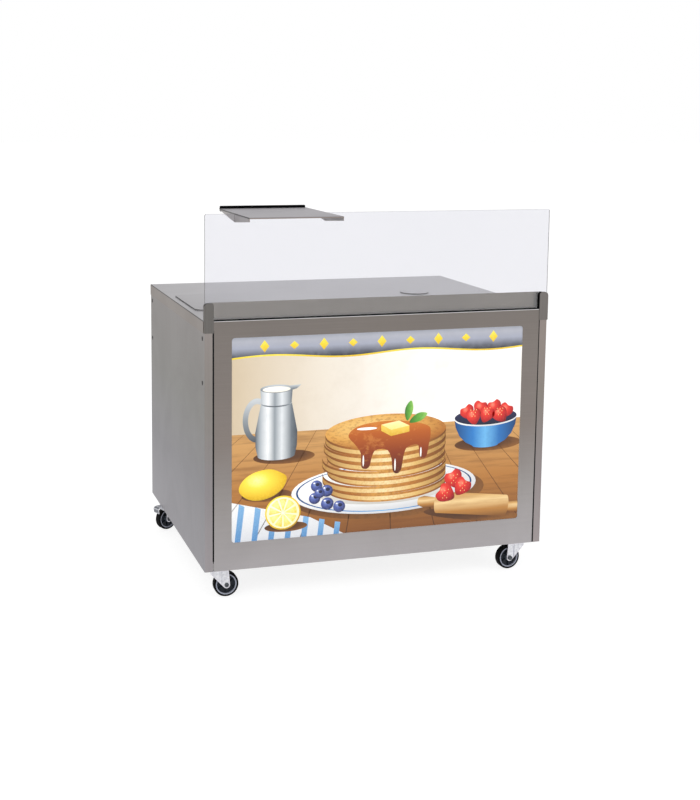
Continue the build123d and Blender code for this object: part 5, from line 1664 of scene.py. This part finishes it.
@dataclass
class Caster:
    """One swivel caster, in its own frame: swivel axis up from the floor, wheel trailing along X."""

    corner: str
    braked: bool
    wheel_r: float = 40.0
    tyre_half: float = 12.0
    line_in: float = 3.85
    line_foot: float = 0.45
    line_top: float = 0.25
    line_rise: float = 0.3
    web_half: float = 5.0
    boss_r: float = 12.0
    boss_half: float = 15.0
    rim_in: float = 29.8
    rim_half: float = 11.3
    spokes: int = 6
    spoke_t: float = 2.4
    spoke_sunk: float = 0.5
    spoke_into: float = 0.4
    spoke_rim_drop: float = 1.6
    spoke_boss_drop: float = 3.0
    leg_out: float = 17.8
    leg_sunk: float = 0.2
    eye_r: float = 11.0
    eye_step: float = 4.5
    crown_lead: float = 25.0
    crown_top: float = 88.5
    crown_clear: float = 0.6
    skirt: float = 9.0
    border_in: float = 0.3
    border: float = 2.2
    border_rise: float = 1.3
    crease: float = 16.0
    # Size of the strip of painted shade in the fork's pressed step.
    crease_shade_wide: float = 1.1
    crease_shade_clear: float = 0.6
    crease_shade_rise: float = 0.9
    pedal_hub: float = 6.0
    pedal_flat: float = 14.0
    pedal_out: float = 24.0
    pedal_fall: float = 5.5
    pedal_toe: float = 18.0
    pedal_toe_in: float = 4.0
    pedal_half: float = 14.8
    grip_ribs: int = 4
    grip_in: float = 1.5
    grip_foot: float = 1.3
    grip_top: float = 0.9
    grip_sunk: float = 0.3
    grip_rise: float = 1.0

    def joint(self, kind: str) -> dict:
        """The frame's joint of this caster, by its last word."""
        return joint_named(f"{self.corner}_{kind}")

    def place(self) -> Matrix:
        """Find where the caster stands and which way it trails.

        Returns:
            The caster's own frame, in metres.
        """
        swivel, wheel = (Vector(self.joint(kind)["pos_m"]) for kind in ("swivel_turn", "wheel_roll"))
        trail = Vector((wheel.x - swivel.x, wheel.y - swivel.y, 0.0))
        return basis(Vector((swivel.x, swivel.y, 0.0)), trail, Z_AXIS.cross(trail))

    def side_on(self) -> Matrix:
        """The caster's frame seen from its side, with the axle along Z."""
        return self.place() @ UPRIGHT

    def wheel_place(self) -> Matrix:
        """The wheel's frame, with its axle along Z."""
        roll = self.joint("wheel_roll")
        return basis(Vector(roll["pos_m"]), Z_AXIS, Vector(roll["axis"]).cross(Z_AXIS))

    def local(self, kind: str) -> Vector:
        """A joint's place in the caster's frame, in millimetres."""
        return self.place().inverted() @ Vector(self.joint(kind)["pos_m"]) / MM

    def add(
        self, piece: str, shape: bmesh.types.BMesh, body: str, slot: str, finish: Finish, smooth: bool = False
    ) -> None:
        """Add a piece under this caster's name, on one of its bodies."""
        add_piece(f"{self.corner}_{piece}", shape, f"{self.corner}_{body}", slot, finish, smooth=smooth)

    def dress(self) -> None:
        """Finish the plated steel, the hub and the tyre."""
        steel = ["plate", "race", "fork"] + (["brake_pedal"] if self.braked else [])
        dress(ZINC, *(f"{self.corner}_{piece}" for piece in steel))
        dress(AXLE_STEEL, f"{self.corner}_axle")
        dress(self.hub_finish(), f"{self.corner}_hub")
        dress(TYRE, f"{self.corner}_tyre")

    def hub_finish(self) -> WheelHub:
        """The hub's finish, ringed about this wheel's axle."""
        roll = self.joint("wheel_roll")
        return WheelHub(f"{self.corner}_hub_finish", tuple(roll["pos_m"]), tuple(roll["axis"]))

    def build(self) -> None:
        """Add the fork's border with its painted highlight, the painted shade in its crease, the hub's
        spokes, the tyre's rings and the pedal's grip.
        """
        self.build_border()
        self.build_crease_shade()
        self.build_spokes()
        self.build_lines()
        if self.braked:
            self.build_pedal_grip()

    def leg_outline(self) -> Outline:
        """Draw the fork leg: an eye round the axle under a straight crown.

        Returns:
            The leg's outline, in the caster's frame from its side.
        """
        axle = self.local("wheel_roll")
        points = ellipse(axle.x, axle.z, self.eye_r, self.eye_r)
        tail = axle.x + self.eye_r - self.eye_step
        top = self.crown_top - self.crown_clear
        return hull(points + box_outline(-self.crown_lead, self.crown_top - self.skirt, tail, top))

    def build_border(self) -> None:
        """A raised border round both legs of the fork, in paler zinc as a painted highlight."""
        outer = shrunk(self.leg_outline(), self.border_in)
        inner = shrunk(outer, self.border)
        foot, top = self.leg_out - self.leg_sunk, self.leg_out + self.border_rise
        shape = bmesh.new()
        for side in (-1, 1):
            framed(shape, outer, inner, side * foot, side * top, self.side_on())
        self.add("fork_border", shape, "swivel", "zinc_steel", BORDER_GLINT_ZINC)

    def build_crease_shade(self) -> None:
        """A strip of painted shade in the pressed step of both legs."""
        start = self.local("wheel_roll").x - self.crease
        leg = shrunk(self.leg_outline(), self.border + self.crease_shade_clear)
        strip = clipped(leg, (start, 0.0), (start + self.crease_shade_wide, self.crown_top))
        foot, top = self.leg_out - self.leg_sunk, self.leg_out + self.crease_shade_rise
        shape = bmesh.new()
        for side in (-1, 1):
            prism(shape, strip, side * foot, side * top, self.side_on())
        self.add("fork_crease_shade", shape, "swivel", "zinc_steel", CREASE_SHADE_ZINC)

    def build_spokes(self) -> None:
        """Ribs between the hub's boss and rim, on both faces."""
        start, end = self.boss_r - self.spoke_sunk, self.rim_in + self.spoke_into
        foot = self.web_half - self.spoke_sunk
        rib = [
            (start, foot), (end, foot), (end, self.rim_half - self.spoke_rim_drop),
            (start, self.boss_half - self.spoke_boss_drop),
        ]
        shape = bmesh.new()
        for k in range(self.spokes):
            turn = Matrix.Rotation(2 * math.pi * k / self.spokes, 4, "Z")
            for side in (-1, 1):
                flat = basis(ORIGIN, X_AXIS, side * Z_AXIS)
                prism(shape, rib, -self.spoke_t / 2, self.spoke_t / 2, self.wheel_place() @ turn @ flat)
        self.add("hub_spokes", shape, "wheel", "grey_hub", self.hub_finish())

    def build_lines(self) -> None:
        """Thin moulded rings on both walls of the tyre."""
        r = self.wheel_r - self.line_in
        shape = bmesh.new()
        for side in (-1.0, 1.0):
            foot, top = side * (self.tyre_half - self.line_rise), side * (self.tyre_half + self.line_rise)
            ring = [
                (r - self.line_foot, foot), (r - self.line_top, top), (r + self.line_top, top),
                (r + self.line_foot, foot),
            ]
            lathe(shape, ring, self.wheel_place(), 72)
        self.add("tyre_lines", shape, "wheel", "black_tyre", TYRE, smooth=True)

    def build_pedal_grip(self) -> None:
        """A ribbed grip over the pedal's slope and toe."""
        pin = self.local("pedal_press")
        top = pin.z + self.pedal_hub
        brow = Vector((pin.x + self.pedal_flat, top))
        nose = Vector((pin.x + self.pedal_out, top - self.pedal_fall))
        toe = nose + Vector((-self.pedal_toe_in, -self.pedal_toe))
        half = self.pedal_half - self.grip_in
        shape = bmesh.new()
        for start, end in ((brow, nose), (nose, toe)):
            along = (end - start).normalized()
            out = Vector((-along.y, along.x))
            corners = (
                (-self.grip_foot, -self.grip_sunk), (self.grip_foot, -self.grip_sunk),
                (self.grip_top, self.grip_rise), (-self.grip_top, self.grip_rise),
            )
            for k in range(self.grip_ribs):
                spot = start.lerp(end, (k + 1.0) / (self.grip_ribs + 1.0))
                rib = [tuple(spot + along * a + out * b) for a, b in corners]
                prism(shape, rib, -half, half, self.side_on())
        self.add("pedal_grip", shape, "pedal", "zinc_steel", PEDAL_GREY)


def main() -> None:
    """Build the stage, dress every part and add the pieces."""
    logging.basicConfig(level=logging.INFO)
    Effects().build()
    Stage().build()
    ends, sides = ("front", "rear"), ("left", "right")
    casters = [Caster(f"{end}_{side}", end == "rear") for end in ends for side in sides]
    for assembly in (Cabinet(), Screen(), LitSign(), *casters):
        assembly.dress()
        assembly.build()
    dress(ZINC, "kingpins", "backing_plates", "caster_bolts", "caster_nuts")


if __name__ == "__main__":
    main()
